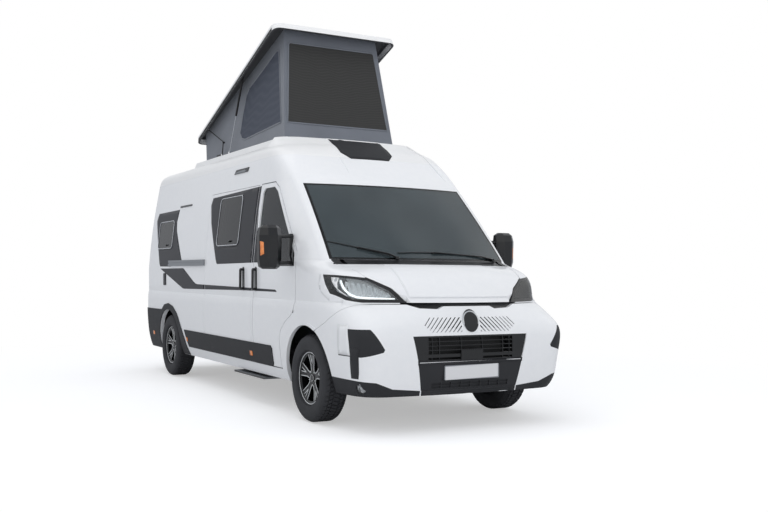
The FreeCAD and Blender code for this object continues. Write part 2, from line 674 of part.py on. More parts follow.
# Slanted air slots on both sides of the badge, and the black slit under the bonnet's lip
SLOT_COUNT = 10
SLOT_PITCH = 38.0
SLOT_LEAN = 115.0
BADGE_Z = 870.0
slot_field = prism([(-458, 858), (-412, 897), (-88, 897), (-88, 782), (-366, 782)], "X", ax(600), ax(1000))
slots = []
for index in range(SLOT_COUNT):
    low_y = -372 + index * SLOT_PITCH
    width = 9 + 0.9 * index
    corners = [(low_y, 780), (low_y + width, 780), (low_y + width + SLOT_LEAN, 899), (low_y + SLOT_LEAN, 899)]
    slots.append(prism(corners, "X", ax(600), ax(1000)).common(slot_field))
for lean_y in (-410, -448, -486):
    corners = [(lean_y, 780), (lean_y + 8, 780), (lean_y + 8 + SLOT_LEAN, 899), (lean_y + SLOT_LEAN, 899)]
    slots.append(prism(corners, "X", ax(600), ax(1000)).common(slot_field))
slots = Part.makeCompound(slots)
SLIT = [(-540, 1004), (-427, 968), (-269, 962), (-220, 984)]
slit = prism(SLIT + [(-y, z) for y, z in reversed(SLIT)], "X", ax(600), ax(1000))
bumper_body = bumper.cut(grille_cut).cut(lower_cut).cut(trim_zone)
bumper_body = bumper_body.cut(slots).cut(mirrored(slots)).cut(slit)
save("front_bumper", bumper_body)

# Corner trims with the fog lamps' round holes
FOG_PLACE = Vector(ax(722), -876, 354)
FOG_AXIS = Vector(1.0, -0.62, 0.0).normalize()
FOG_R = 40.0
fog_hole = Part.makeCylinder(FOG_R, 200, FOG_PLACE - FOG_AXIS * 100, FOG_AXIS)
fog_glass = Part.makeCylinder(FOG_R - SEAT, 200, FOG_PLACE - FOG_AXIS * 100, FOG_AXIS)
fog_glass = layer(9.0, 15.0, fog_glass)
bumper_trim = bumper.cut(grille_cut).cut(lower_cut).common(trim_zone)
bumper_trim = bumper_trim.cut(fog_hole).cut(mirrored(fog_hole))

# Insert below the grille: a flat seat for the number plate over a barred air intake
PLATE_HALF = 262.0
PLATE_LOW = 408.0
PLATE_HIGH = 522.0
PLATE_FACE = NOSE - 3.0
PLATE_THICK = 5.0
insert = layer(0.0, INSERT_DEPTH, prism(
    [(-494, 539), (494, 539), (454, 331), (-454, 331)], "X", ax(600), ax(1000)))
plate_seat = box(PLATE_FACE - 26, PLATE_FACE - PLATE_THICK - SEAT, -PLATE_HALF - 6, PLATE_HALF + 6,
                 PLATE_LOW - 6, PLATE_HIGH + 6)
insert = fused([insert, plate_seat])
insert = insert.cut(box(PLATE_FACE - PLATE_THICK - SEAT, NOSE + 20, -PLATE_HALF - 6, PLATE_HALF + 6,
                        PLATE_LOW - 6, PLATE_HIGH + 6))
INTAKE_COLUMNS = 8
INTAKE_PITCH = 92.0
INTAKE_DEPTH = 10.0
for column in range(INTAKE_COLUMNS):
    y = (column - INTAKE_COLUMNS / 2) * INTAKE_PITCH + 4
    for z0, z1 in ((345, 364), (369, 388)):
        insert = insert.cut(box(ax(800), ax(1000), y, y + INTAKE_PITCH - 8, z0, z1).cut(body_form(INTAKE_DEPTH)))
save("bumper_trim", Part.makeCompound([bumper_trim, insert]))
plate = box(PLATE_FACE - PLATE_THICK, PLATE_FACE, -PLATE_HALF, PLATE_HALF, PLATE_LOW, PLATE_HIGH)
plate = plate.makeFillet(10, [edge for edge in plate.Edges if abs(edge.tangentAt(0).x) > 0.9])
plate_field = box(PLATE_FACE - 1.5, PLATE_FACE + 1, -PLATE_HALF + 9, PLATE_HALF - 9, PLATE_LOW + 9, PLATE_HIGH - 9)
save("number_plate", plate.cut(plate_field))

# Grille: a black panel with rows of openings between its bars, and a plain sensor cover in the middle
GRILLE_DEPTH = (10.0, 24.0)
GRILLE_COLUMNS = [(-402, -372), (-366, -306), (-300, -104), (-98, 98), (104, 300), (306, 366), (372, 402)]
GRILLE_ROWS = [(568, 586), (612, 640), (646, 674), (680, 708), (714, 742)]
SENSOR_HALF = 104.0
grille_panel = layer(*GRILLE_DEPTH, prism(
    [(-544, 755), (544, 755), (494, 553), (-494, 553)], "X", ax(600), ax(1000)))
openings = []
for y0, y1 in GRILLE_COLUMNS:
    for z0, z1 in GRILLE_ROWS:
        if y0 > -SENSOR_HALF and y1 < SENSOR_HALF and z1 < 642:
            continue
        openings.append(box(ax(700), ax(1000), y0, y1, z0, z1))
grille_panel = grille_panel.cut(Part.makeCompound(openings))
sensor_zone = box(ax(800), ax(1000), -SENSOR_HALF, SENSOR_HALF, 556, 640)
grille_panel = fused([grille_panel, layer(2.0, GRILLE_DEPTH[1], sensor_zone)])
backing = layer(BUMPER_DEPTH + SEAT, BUMPER_DEPTH + 6, prism(
    [(-620, 1004), (620, 1004), (500, 770), (-500, 770)], "X", ax(600), ax(1000)))
save("grille", Part.makeCompound([grille_panel, backing]))

# Badge: a plain domed oval on the band, with no mark on it
badge_face = layer(-7.0, 1.0, box(ax(850), ax(1000), -76, 76, BADGE_Z - 92, BADGE_Z + 92))
oval = Part.Face(Part.Wire(Part.Ellipse(Vector(0, 0, 0), 90, 72).toShape())).extrude(Vector(0, 0, 200))
oval.Placement = Placement(Vector(ax(830), 0, BADGE_Z), Rotation(Vector(0, 1, 0), 90))
badge = badge_face.common(oval).cut(skin)
fog_lamps = [fog_glass, mirrored(fog_glass)]
save("fog_lamps_and_badge", Part.makeCompound([badge] + fog_lamps))

# Roof panel of the rear body with the pop-up roof's raised coaming and opening
roof_shell = band(CROWN).cut(band(CROWN, 26.0, 26.0))
PLINTH_REAR = ax(-4030)
PLINTH_FRONT = ax(-1400)


def level_loft(rows):
    """A loft of rounded rectangles, each given as rear, front, half width, height, rounding."""
    wires = []
    for rear, front, half, z, rounding in rows:
        r = rounding
        corners = [(rear, half), (front, half), (front, -half), (rear, -half)]
        edges = []
        count = len(corners)
        for index in range(count):
            here = Vector(corners[index][0], corners[index][1], z)
            nxt = Vector(corners[(index + 1) % count][0], corners[(index + 1) % count][1], z)
            after = Vector(corners[(index + 2) % count][0], corners[(index + 2) % count][1], z)
            step = (nxt - here).normalize()
            turn = (after - nxt).normalize()
            start = here + step * r
            end = nxt - step * r
            edges.append(Part.makeLine(start, end))
            bend = Part.BezierCurve()
            bend.setPoles([end, nxt, nxt + turn * r])
            edges.append(bend.toShape())
        wires.append(Part.Wire(edges))
    return Part.makeLoft(wires, True, True)


plinth = level_loft([
    (PLINTH_REAR - 60, PLINTH_FRONT + 10, 745, 2440, 60),
    (PLINTH_REAR, PLINTH_FRONT, 712, PLINTH_Z, 60),
])
plinth = plinth.cut(band(CROWN, 26.0, 26.0))
roof_hole = level_loft([
    (ax(-3860), ax(-1500), 590, 2300, 60),
    (ax(-3860), ax(-1500), 590, 2700, 60),
])
brackets = []
bracket_y = ARM_Y + 6.3
for along, up in (ARM_FOOT, STRUT_FOOT):
    lug = box(ax(along) - 14, ax(along) + 14, -bracket_y - 6, -bracket_y, PLINTH_Z - 3, up)
    brackets.append(lug.fuse(rod((ax(along), -bracket_y - 6, up), (ax(along), -bracket_y, up), 14)))
roof_panel = fused([roof_shell, plinth] + brackets + [mirrored(lug) for lug in brackets]).cut(roof_hole)

# Fairing over the windscreen, running up to the pop-up roof's front edge
FAIRING = [
    (2440, 845, 55, -1430, -1034, 795, 160, -979),
    (FAIRING_TOP, 770, 200, -1560, -1250, 700, 150, -1182),
]
fairing_zone = box(PLINTH_FRONT + 14, ax(-900), -900, 900, 2440, FAIRING_TOP)
crown_floor = fused([Part.makeLoft([outline(row, RECESS_DEPTHS[-1], 0.0) for row in CROWN], True, False),
                     band(FAIRING, RECESS_DEPTHS[-1]).common(fairing_zone)])
crown_recess = recess_zone(SEAM_Z, FAIRING_TOP + 1).cut(crown_floor)
fairing = band(FAIRING).common(fairing_zone).cut(crown_recess).cut(mirrored(crown_recess))
fairing = fairing.cut(band(CROWN)).cut(skin).cut(plinth)
fairing = fairing.cut(roof_panel)
roof_panel = roof_panel.cut(crown_recess).cut(mirrored(crown_recess))
save("roof_panel", roof_panel)
fairing = fused([solid for solid in fairing.Solids if solid.Volume > 50000.0])
save("roof_fairing", fairing)


# Rear doors
def rear_door_zone(y0, y1, grow=0.0):
    return box(TAIL - 50, TAIL + 160, y0 + grow, y1 - grow, REAR_DOOR_BOTTOM + grow, REAR_DOOR_TOP - grow)


rear_panel = rear_walls.common(box(TAIL - 50, TAIL + 160, -1000, 1000, 400, SEAM_Z))
rear_window_hole = box(TAIL - 50, TAIL + 160, -700, -170, 1480, 2000)
rear_door = rear_panel.common(rear_door_zone(-REAR_DOOR_HALF, -REAR_DOOR_MEET / 2)).cut(rear_window_hole)
hinge_straps = []
for z in REAR_HINGES:
    hinge_straps.append(barrel(z - 30, z + 30))
    hinge_straps.append(box(HINGE_X - 5, TAIL + 60, -HINGE_Y + 4.5, -HINGE_Y + 8, z - 30, z + 30).cut(skin))
rear_door = fused([rear_door] + hinge_straps)
save("rear_door_right", rear_door)
save("rear_door_left", mirrored(rear_door))
rear_glass = body_form(6.0).cut(body_form(11.0)).common(box(TAIL - 50, TAIL + 160, -699.7, -170.3, 1480.3, 1999.7))
save("rear_glass_right", rear_glass)
save("rear_glass_left", mirrored(rear_glass))
header = rear_panel.common(box(TAIL - 50, TAIL + 160, -REAR_DOOR_HALF - GAP + 0.3, REAR_DOOR_HALF + GAP - 0.3,
                               REAR_DOOR_TOP + GAP, SEAM_Z))
save("rear_header", header)

# Rear bumper between the corners, under the doors
bumper_form = body_form(-TAIL_SET_IN).cut(body_form(REAR_DOOR_WALL))
rear_bumper = bumper_form.common(box(TAIL - 50, TAIL + 160, -REAR_DOOR_HALF - GAP + 0.3,
                                    REAR_DOOR_HALF + GAP - 0.3, SILL_Z, REAR_DOOR_BOTTOM - GAP))
save("rear_bumper", rear_bumper)

# Black trims on the sides: rub strip, rear arch and rear skirt
strip_points = [(ax(-3325), 390), (ax(-815), 390), (ax(-785), 420), (ax(-785), 555), (ax(-815), 580),
                (ax(-3439), 580)]
strip = layer(-TRIM, 0.0, side_cut(strip_points))
arch_flare = [
    (TAIL - 20, SILL_Z + 5), (TAIL - 20, 781), (ax(-4313), 783), (ax(-4200), 845), (ax(-4040), 866),
    (ax(-3850), 835), (ax(-3700), 760), (ax(-3634), 695), (ax(-3480), 500), (ax(-3363), SILL_Z + 5),
]
flare = layer(-TRIM, 0.0, side_cut(arch_flare)).cut(arch_cut(REAR_AXLE - 10, 440, -HALF_WIDTH - 60, -700))
flare = flare.common(box(TAIL + 40, NOSE, -1100, -700, 0, 1000))
save("side_trims", Part.makeCompound([strip, flare, mirrored(strip), mirrored(flare)]))

# Floor with its rear wheel boxes, cab floor and front bulkhead
floor_half = 950.0
floor_rear = TAIL + TAIL_SET_IN + REAR_DOOR_WALL + GAP
floor = box(floor_rear, ax(DOOR_REAR) - GAP, -HALF_WIDTH, HALF_WIDTH, FLOOR_TOP - FLOOR_THICK, FLOOR_TOP)
floor = floor.common(body_form(WALL + SEAT))
floor = floor.fuse(box(ax(DOOR_REAR) - GAP, ax(-540), -930, 930, FLOOR_TOP - FLOOR_THICK, FLOOR_TOP))
well = box(REAR_AXLE - 480, REAR_AXLE + 460, -HALF_WIDTH, -730, 0, 870)
well_inner = box(REAR_AXLE - 465, REAR_AXLE + 445, -floor_half - 10, -745, 0, 855)
floor = floor.cut(well).cut(mirrored(well))
well_shell = well.cut(well_inner).common(box(TAIL, NOSE, -floor_half, 0, FLOOR_TOP - FLOOR_THICK, 900))
well_shell = well_shell.common(body_form(WALL + SEAT))
cab_floor = box(ax(-540), ax(-150), -540, 540, FLOOR_TOP - FLOOR_THICK, FLOOR_TOP)
bulkhead = box(ax(-150), ax(-110), -540, 540, FLOOR_TOP - FLOOR_THICK, SCUTTLE_Z - SEAT)
cheek = box(ax(-150), ax(-110), 540, 860, 860, SCUTTLE_Z - SEAT)
bonnet_lug = box(ax(-110), ax(BONNET_HINGE_X + 9), 780 + 10 + SEAT, 803, BONNET_HINGE_Z - 9, BONNET_HINGE_Z + 9)
cheek = cheek.fuse(bonnet_lug)
floor_pan = fused([floor, well_shell, mirrored(well_shell), cab_floor, bulkhead, cheek, mirrored(cheek)])
save("floor_pan", floor_pan)

# Chassis: two long members with cross members
rail_z0 = 405.0
rail_z1 = FLOOR_TOP - FLOOR_THICK
long_member = box(TAIL + 80, ax(780), 430, 500, rail_z0, rail_z1)
cross = [box(x, x + 70, -430, 430, rail_z0 + 10, rail_z1 - 10)
         for x in (TAIL + 80, rax(-500), rax(500), ax(-2400), ax(-1300), ax(-500))]
cross.append(box(ax(260), ax(330), -430, 430, rail_z0, 420 - SEAT))
beam = box(ax(780), ax(830), -700, 700, rail_z0, rail_z1)
bumper_mount = box(ax(830), ax(960), -330, -270, rail_z0 + 10, rail_z1 - 10).common(body_form(24.0 + SEAT))
jack_pad = box(ax(-960), ax(-860), 430, 500, rail_z0 - JACK_PAD, rail_z0)
chassis = fused([long_member, mirrored(long_member), beam, bumper_mount, mirrored(bumper_mount),
                 jack_pad, mirrored(jack_pad)] + cross)
for side in (-1, 1):
    for up in (-TOW_HOLE_UP, TOW_HOLE_UP):
        y, z = side * TOW_HOLE_OUT, (rail_z0 + rail_z1) / 2 + up
        chassis = chassis.cut(rod((TAIL + 79, y, z), (TAIL + 151, y, z), TOW_HOLE_R))
save("chassis_frame", chassis)

# Engine, a plain block across the bay ahead of the axle
save("engine_block", box(ax(60), ax(560), -340, 340, 420, 1000))

# Front subframe with lower arms
subframe = box(ax(-140), ax(140), -425, 425, 300, rail_z0 - 0.3)
subframe = subframe.fuse(box(ax(-140), ax(140), -500, 500, rail_z0 - 25, rail_z0 - 0.3))
arm = prism([(ax(-120), -425), (ax(-30), -800), (ax(30), -800), (ax(120), -425)], "Z", 300, KNUCKLE_FOOT_Z - SEAT)
arm = arm.cut(rod((FRONT_AXLE, -KINGPIN_Y, 290), (FRONT_AXLE, -KINGPIN_Y, 340), KINGPIN_R + 0.1))
arms = [arm, mirrored(arm)]
save("front_subframe", fused([subframe] + arms))

# Rear beam axle on leaf springs
HUB_Z = TYRE_R
axle_beam = rod((REAR_AXLE, -780, HUB_Z), (REAR_AXLE, 780, HUB_Z), 40)
drum = rod((REAR_AXLE, -795, HUB_Z), (REAR_AXLE, -750, HUB_Z), 140)
rear_stub = rod((REAR_AXLE, -REAR_TRACK / 2 - RIM_FACE_OFFSET + 14, HUB_Z), (REAR_AXLE, -780, HUB_Z), STUB_R)
spring_line = [(REAR_AXLE - 620, 390), (REAR_AXLE - 300, 325), (REAR_AXLE, 300), (REAR_AXLE + 300, 325),
               (REAR_AXLE + 620, 390), (REAR_AXLE + 620, 404.7), (REAR_AXLE + 300, 343),
               (REAR_AXLE, 326), (REAR_AXLE - 300, 343), (REAR_AXLE - 620, 404.7)]
spring = prism(spring_line, "Y", -500, -430)
axle = fused([axle_beam, drum, mirrored(drum), rear_stub, mirrored(rear_stub), spring, mirrored(spring)])
save("rear_axle", axle)

# Tanks and exhaust under the floor
tank = box(ax(-2250), ax(-1450), 520, 880, 300, FLOOR_TOP - FLOOR_THICK - 0.3)
waste = box(ax(-3250), ax(-2550), -880, -520, 300, FLOOR_TOP - FLOOR_THICK - 0.3)
pipe_z = rail_z0 + 10 - 14 - SEAT
pipe = rod((ax(-145), -250, pipe_z), (ax(-3450), -250, pipe_z), 14)
silencer = rod((ax(-2200), -250, pipe_z), (ax(-1500), -250, pipe_z), 85)

# Entry step under the sliding door
tread = box(ax(-1830), ax(-1032), -985, -620, 250, 268)
save("entry_step", tread)
step_case = box(ax(-1850), ax(-1012), -880, -560, 268.3, FLOOR_TOP - FLOOR_THICK - 0.3)
save("underfloor_tanks", Part.makeCompound([tank, waste, step_case, fused([pipe, silencer])]))

# Dashboard and steering wheel
dash = prism([(ax(-480), 900), (ax(-150.3), 860), (ax(-150.3), 1290), (ax(-250), 1300), (ax(-440), 1240),
              (ax(-500), 1100)], "Y", -850, 850)
ring = Part.makeTorus(195, 15, Vector(0, 0, 0), Vector(0, 0, 1))
spoke = Part.makeCylinder(55, 30, Vector(0, 0, -15)).fuse(box(-190, 190, -14, 14, -9, 9))
column = Part.makeCylinder(28, 260, Vector(0, 0, -250))
wheel = fused([ring, spoke, column])
wheel.Placement = Placement(Vector(ax(-640), 420, 1190), Rotation(Vector(0, 1, 0), -58))
dash = dash.fuse(wheel).removeSplitter()
save("dashboard", dash)


# Cab seats, bed, kitchen and bench
def seat(y):
    base = box(ax(-1150), ax(-780), y - 200, y + 200, FLOOR_TOP, 800)
    cushion = box(ax(-1200), ax(-720), y - 240, y + 240, 800, 930)
    back = prism([(ax(-1200), 930), (ax(-1080), 930), (ax(-1240), 1520), (ax(-1340), 1520)], "Y", y - 235, y + 235)
    head = box(ax(-1350), ax(-1250), y - 130, y + 130, 1540, 1740)
    neck = box(ax(-1310), ax(-1290), y - 60, y + 60, 1520, 1540)
    return fused([base, cushion, back, head, neck])


save("cab_seats", Part.makeCompound([seat(-430), seat(430)]))
bed = box(ax(-4900), ax(-3300), -880, 880, 960, 1100)
bed_side = box(ax(-4900), ax(-3300), -720, -480, FLOOR_TOP, 960)
bed_other = box(ax(-4900), ax(-3300), 480, 720, FLOOR_TOP, 960)
bed_frame = fused([bed, bed_side, bed_other])
kitchen = box(ax(-3280), ax(-2720), -900, -350, FLOOR_TOP, 1480)
washroom = box(ax(-3280), ax(-2480), 200, 860, FLOOR_TOP, 2240)
bench = box(ax(-2300), ax(-1850), 250, 900, FLOOR_TOP, 1000)
bench_back = box(ax(-2420), ax(-2300), 250, 900, FLOOR_TOP, 1450)
save("living_furniture", Part.makeCompound([bed_frame, kitchen, washroom, fused([bench, bench_back])]))


# Wheels: tyre and alloy rim on the front right, copied to each hub
def facet_ring(profile):
    """A drum along Y of flat facets, from its radii and places, with a corner at the ground."""
    wires = []
    for radius, y in profile:
        points = []
        for index in range(TYRE_FACETS):
            turn = 2 * math.pi * index / TYRE_FACETS
            points.append(Vector(radius * math.sin(turn), y, -radius * math.cos(turn)))
        wires.append(Part.makePolygon(points + [points[0]]))
    return Part.makeLoft(wires, True, True)


def wheel_parts():
    half = TYRE_WIDTH / 2
    seat_half = RIM_WIDTH / 2
    side = [(RIM_LIP_R + 12, half - 8), (0.82 * TYRE_R, half), (TYRE_R - 12, half - 20), (TYRE_R, half - 45)]
    carcass = facet_ring([(r, -y) for r, y in side] + [(r, y) for r, y in reversed(side)])
    bead = [(RIM_LIP_R + 2 + SEAT, seat_half + 40), (RIM_LIP_R + 2 + SEAT, seat_half - 10.5),
            (RIM_SEAT_R + 2 + SEAT, seat_half - 11.5)]
    tyre = carcass.cut(facet_ring([(r, -y) for r, y in bead] + [(r, y) for r, y in reversed(bead)]))
    barrel_line = [
        (RIM_LIP_R, -seat_half), (RIM_LIP_R, -seat_half + 9), (RIM_SEAT_R, -seat_half + 10),
        (RIM_SEAT_R, seat_half - 10), (RIM_LIP_R, seat_half - 9), (RIM_LIP_R, seat_half),
        (RIM_SEAT_R - RIM_WALL, seat_half - 14), (RIM_SEAT_R - RIM_WALL, -seat_half),
    ]
    points = [Vector(r, y, 0) for r, y in barrel_line]
    face = Part.Face(Part.makePolygon(points + [points[0]]))
    barrel = face.revolve(Vector(0, 0, 0), Vector(0, 1, 0), 360)
    outer = RIM_FACE_OFFSET
    hub = rod((0, outer - 40, 0), (0, outer - 6, 0), HUB_R)
    cap = Part.makeCone(34, 28, 8, Vector(0, outer - 6, 0), Vector(0, 1, 0))
    pieces = [barrel, hub, cap]
    dish = prism([(outer - 40, 30), (outer - 8, 30), (outer - 2, 120), (outer + 12, RIM_SEAT_R - 3),
                  (outer - 24, RIM_SEAT_R - 3), (outer - 34, 100)], "X", -90, 90)
    plan = [(-20, 50), (20, 50), (22, 100), (46, RIM_SEAT_R), (16, RIM_SEAT_R + 4), (0, 118),
            (-16, RIM_SEAT_R + 4), (-46, RIM_SEAT_R), (-22, 100)]
    spoke = prism([(x * SPOKE_SPREAD, z) for x, z in plan], "Y", outer - 60, outer + 40).common(dish)
    spoke = spoke.common(rod((0, outer - 60, 0), (0, outer + 40, 0), RIM_SEAT_R - RIM_WALL / 2))
    for index in range(SPOKES):
        pieces.append(spoke.rotated(Vector(0, 0, 0), Vector(0, 1, 0), 360.0 / SPOKES * index))
    rim = fused(pieces)
    bore = rod((0, outer - 41, 0), (0, outer - 12, 0), HUB_BORE_R)
    return tyre, rim.cut(bore)


tyre_left, rim_left = wheel_parts()
tyre_right, rim_right = mirrored(tyre_left), mirrored(rim_left)
for place, x, half_track in (("front", FRONT_AXLE, FRONT_TRACK / 2), ("rear", REAR_AXLE, REAR_TRACK / 2)):
    for side, tyre, rim, sign in (("left", tyre_left, rim_left, 1), ("right", tyre_right, rim_right, -1)):
        move = Vector(x, sign * half_track, HUB_Z)
        save("tyre_" + place + "_" + side, tyre.translated(move))
        save("rim_" + place + "_" + side, rim.translated(move))

# Front knuckles: upright, disc and stub that carries the wheel
hub_inner = FRONT_TRACK / 2 + RIM_FACE_OFFSET - 40
upright = box(ax(-45), ax(45), -KINGPIN_Y - 18, -KINGPIN_Y + 17, KNUCKLE_FOOT_Z, 520)
disc = rod((FRONT_AXLE, -hub_inner + 20, HUB_Z), (FRONT_AXLE, -hub_inner + 42, HUB_Z), 140)
front_stub = rod((FRONT_AXLE, -hub_inner - 26, HUB_Z), (FRONT_AXLE, -790, HUB_Z), STUB_R)
kingpin = rod((FRONT_AXLE, -KINGPIN_Y, 302), (FRONT_AXLE, -KINGPIN_Y, 340), KINGPIN_R)
knuckle = fused([upright, disc, front_stub, kingpin])
save("knuckle_right", knuckle)
save("knuckle_left", mirrored(knuckle))

# Pop-up roof shell, made lying level and then tilted to its raised place
shell_outer = level_loft([
    (0, ROOF_LENGTH, ROOF_HALF, 0, 90),
    (4, ROOF_LENGTH - 10, ROOF_HALF - 4, 62, 90),
    (30, ROOF_LENGTH - 60, ROOF_HALF - 28, 96, 90),
    (200, ROOF_LENGTH - 300, ROOF_HALF - 180, ROOF_DEPTH, 90),
])
shell_inner = level_loft([
    (20, ROOF_LENGTH - 20, ROOF_HALF - 20, -1, 72),
    (24, ROOF_LENGTH - 30, ROOF_HALF - 24, 60, 72),
    (40, ROOF_LENGTH - 70, ROOF_HALF - 40, ROOF_CEILING, 72),
])
RAISED = Placement(Vector(ax(ROOF_REAR_X), 0, ROOF_REAR_Z), Rotation(Vector(0, 1, 0), -ROOF_TILT))
pins = []
for (along, up), start in ((ARM_HEAD_ON_ROOF, ARM_Y - ARM_STEP + 6.3), (STRUT_HEAD_ON_ROOF, ARM_Y + 6.3)):
    pins.append(rod((along, -ROOF_HALF + 14, up), (along, -start, up), 10))
pop_roof = fused([shell_outer.cut(shell_inner)] + pins + [mirrored(pin) for pin in pins])
pop_roof.Placement = RAISED
save("pop_roof", pop_roof)


def on_roof(along, up, y=0.0):
    """A point of the raised roof, from its rear lower edge."""
    return RAISED.multVec(Vector(along, y, up))


# Tent between the coaming and the raised roof
def tent_wires(grow):
    half = TENT_HALF - grow
    base = [(ax(-3883) + grow, -half), (ax(-1470) - grow, -half), (ax(-1470) - grow, half), (ax(-3883) + grow, half)]
    low = [Vector(x, y, PLINTH_Z + 0.3) for x, y in base]
    top_half = 530 - grow
    top = ROOF_CEILING - 0.3
    high = [on_roof(150 + grow, top, -half), on_roof(2490 - grow, top, -top_half),
            on_roof(2490 - grow, top, top_half), on_roof(150 + grow, top, half)]
    return [Part.makePolygon(low + [low[0]]), Part.makePolygon(high + [high[0]])]


tent = Part.makeLoft(tent_wires(0.0), True, True).cut(Part.makeLoft(tent_wires(TENT_WALL), True, True))
save("tent", tent)


# Lifting arms and gas struts on both sides of the tent
def bar(start, end, radius, y):
    return rod((start[0], y, start[1]), (end[0], y, end[1]), radius)


def eye(point, y, radius=10.0, width=12.0):
    return rod((point[0], y - width / 2, point[1]), (point[0], y + width / 2, point[1]), radius)


def both_sides(shapes):
    whole = fused(shapes)
    return Part.makeCompound([whole, mirrored(whole)])


foot = (ax(ARM_FOOT[0]), ARM_FOOT[1])
knee = (ax(ARM_KNEE[0]), ARM_KNEE[1])
head_point = on_roof(*ARM_HEAD_ON_ROOF)
head = (head_point.x, head_point.z)
save("roof_lower_links", both_sides([bar(foot, knee, 5.8, -ARM_Y), eye(foot, -ARM_Y), eye(knee, -ARM_Y)]))
save("roof_upper_arms", both_sides([bar(knee, head, 5.8, -ARM_Y + ARM_STEP), eye(knee, -ARM_Y + ARM_STEP), eye(head, -ARM_Y + ARM_STEP)]))
strut_foot = (ax(STRUT_FOOT[0]), STRUT_FOOT[1])
strut_top_point = on_roof(*STRUT_HEAD_ON_ROOF)
strut_top = (strut_top_point.x, strut_top_point.z)
reach = math.hypot(strut_top[0] - strut_foot[0], strut_top[1] - strut_foot[1])
line = ((strut_foot[0] - strut_top[0]) / reach, (strut_foot[1] - strut_top[1]) / reach)


def along_strut(distance):
    return (strut_top[0] + line[0] * distance, strut_top[1] + line[1] * distance)


tube = bar(along_strut(12), along_strut(STRUT_TUBE), STRUT_TUBE_R, -ARM_Y)
tube = tube.cut(bar(along_strut(60), along_strut(STRUT_TUBE + 1), STRUT_BORE_R, -ARM_Y))
save("strut_cylinders", both_sides([tube, eye(strut_top, -ARM_Y)]))
save("strut_rods", both_sides([bar(along_strut(STRUT_TUBE - 40), along_strut(reach - 8), STRUT_ROD_R, -ARM_Y),
                               eye(strut_foot, -ARM_Y)]))
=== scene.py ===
"""A camper van with its roof raised: paint, glass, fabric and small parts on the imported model."""

import math

import bmesh
import bpy
from mathutils import Matrix, Vector
from mathutils.bvhtree import BVHTree
from mathutils.geometry import tessellate_polygon


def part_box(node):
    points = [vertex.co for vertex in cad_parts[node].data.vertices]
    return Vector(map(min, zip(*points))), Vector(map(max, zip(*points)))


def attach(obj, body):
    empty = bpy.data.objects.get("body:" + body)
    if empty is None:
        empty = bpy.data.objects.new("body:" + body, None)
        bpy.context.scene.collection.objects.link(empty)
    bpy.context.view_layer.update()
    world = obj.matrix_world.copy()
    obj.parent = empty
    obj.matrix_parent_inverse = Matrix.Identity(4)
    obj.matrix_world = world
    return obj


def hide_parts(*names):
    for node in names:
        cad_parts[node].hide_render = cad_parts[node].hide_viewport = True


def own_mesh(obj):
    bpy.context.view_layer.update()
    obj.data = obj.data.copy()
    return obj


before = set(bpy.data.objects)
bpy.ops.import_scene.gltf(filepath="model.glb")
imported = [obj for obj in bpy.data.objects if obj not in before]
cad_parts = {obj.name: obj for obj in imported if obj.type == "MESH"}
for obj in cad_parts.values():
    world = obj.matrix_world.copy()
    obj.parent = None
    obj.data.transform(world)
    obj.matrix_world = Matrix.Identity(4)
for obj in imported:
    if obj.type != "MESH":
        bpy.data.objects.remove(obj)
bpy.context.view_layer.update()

# The van stands on the ground, and its places are measured along it from the front axle,
# across it from its middle and up from the ground, as a body shop's drawing gives them.
tyre_low, tyre_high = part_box("tyre_front_right")
FRONT_AXLE = (tyre_low.x + tyre_high.x) / 2
RIGHT = -1
LEFT = 1
SIDES = ((RIGHT, "right"), (LEFT, "left"))


def mm(size):
    """Millimetres as metres."""
    return size / 1000.0


def along(size):
    """A place measured forwards from the front axle, in millimetres."""
    return FRONT_AXLE + mm(size)


# Studio: a normal lens at door height looks at the front right corner of the van. The floor is
# a pale sweep that shows white beside the van's soft shadow, and the walls are out of sight.
CAMERA_PLACE = (along(7262), mm(-4293), mm(1239))
CAMERA_YAW = math.radians(151.14)
CAMERA_PITCH = math.radians(1.07)
CAMERA_ROLL = math.radians(-0.448)
CAMERA_LENS = 44.6
ahead = Vector((math.cos(CAMERA_YAW) * math.cos(CAMERA_PITCH),
                math.sin(CAMERA_YAW) * math.cos(CAMERA_PITCH), math.sin(CAMERA_PITCH)))
level_right = Vector((math.sin(CAMERA_YAW), -math.cos(CAMERA_YAW), 0))
level_up = level_right.cross(ahead)
picture_right = level_right * math.cos(CAMERA_ROLL) - level_up * math.sin(CAMERA_ROLL)
picture_up = level_right * math.sin(CAMERA_ROLL) + level_up * math.cos(CAMERA_ROLL)
camera_data = bpy.data.cameras.new("studio_camera")
camera_data.lens = CAMERA_LENS
camera = bpy.data.objects.new("studio_camera", camera_data)
turned = Matrix((picture_right, picture_up, -ahead)).transposed().to_4x4()
camera.matrix_world = Matrix.Translation(CAMERA_PLACE) @ turned
bpy.context.scene.collection.objects.link(camera)
bpy.context.scene.camera = camera
bpy.context.scene.view_settings.view_transform = "Standard"


def colour(code):
    """An sRGB hex colour as Blender's linear red, green, blue and alpha."""
    channels = [int(code[place:place + 2], 16) / 255 for place in (1, 3, 5)]
    linear = [c / 12.92 if c <= 0.04045 else ((c + 0.055) / 1.055) ** 2.4 for c in channels]
    return (*linear, 1.0)


def add_node(tree, kind, settings=None, links=None):
    """One shader node with its settings and what feeds its sockets; gives the node."""
    node = tree.nodes.new("ShaderNode" + kind)
    for name, value in (settings or {}).items():
        if isinstance(name, int) or name in node.inputs:
            node.inputs[name].default_value = value
        else:
            setattr(node, name, value)
    for name, socket in (links or {}).items():
        tree.links.new(socket, node.inputs[name])
    return node


def blank_material(name):
    """A material with an empty node tree, and the tree."""
    material = bpy.data.materials.new(name)
    material.use_nodes = True
    material.node_tree.nodes.clear()
    return material, material.node_tree


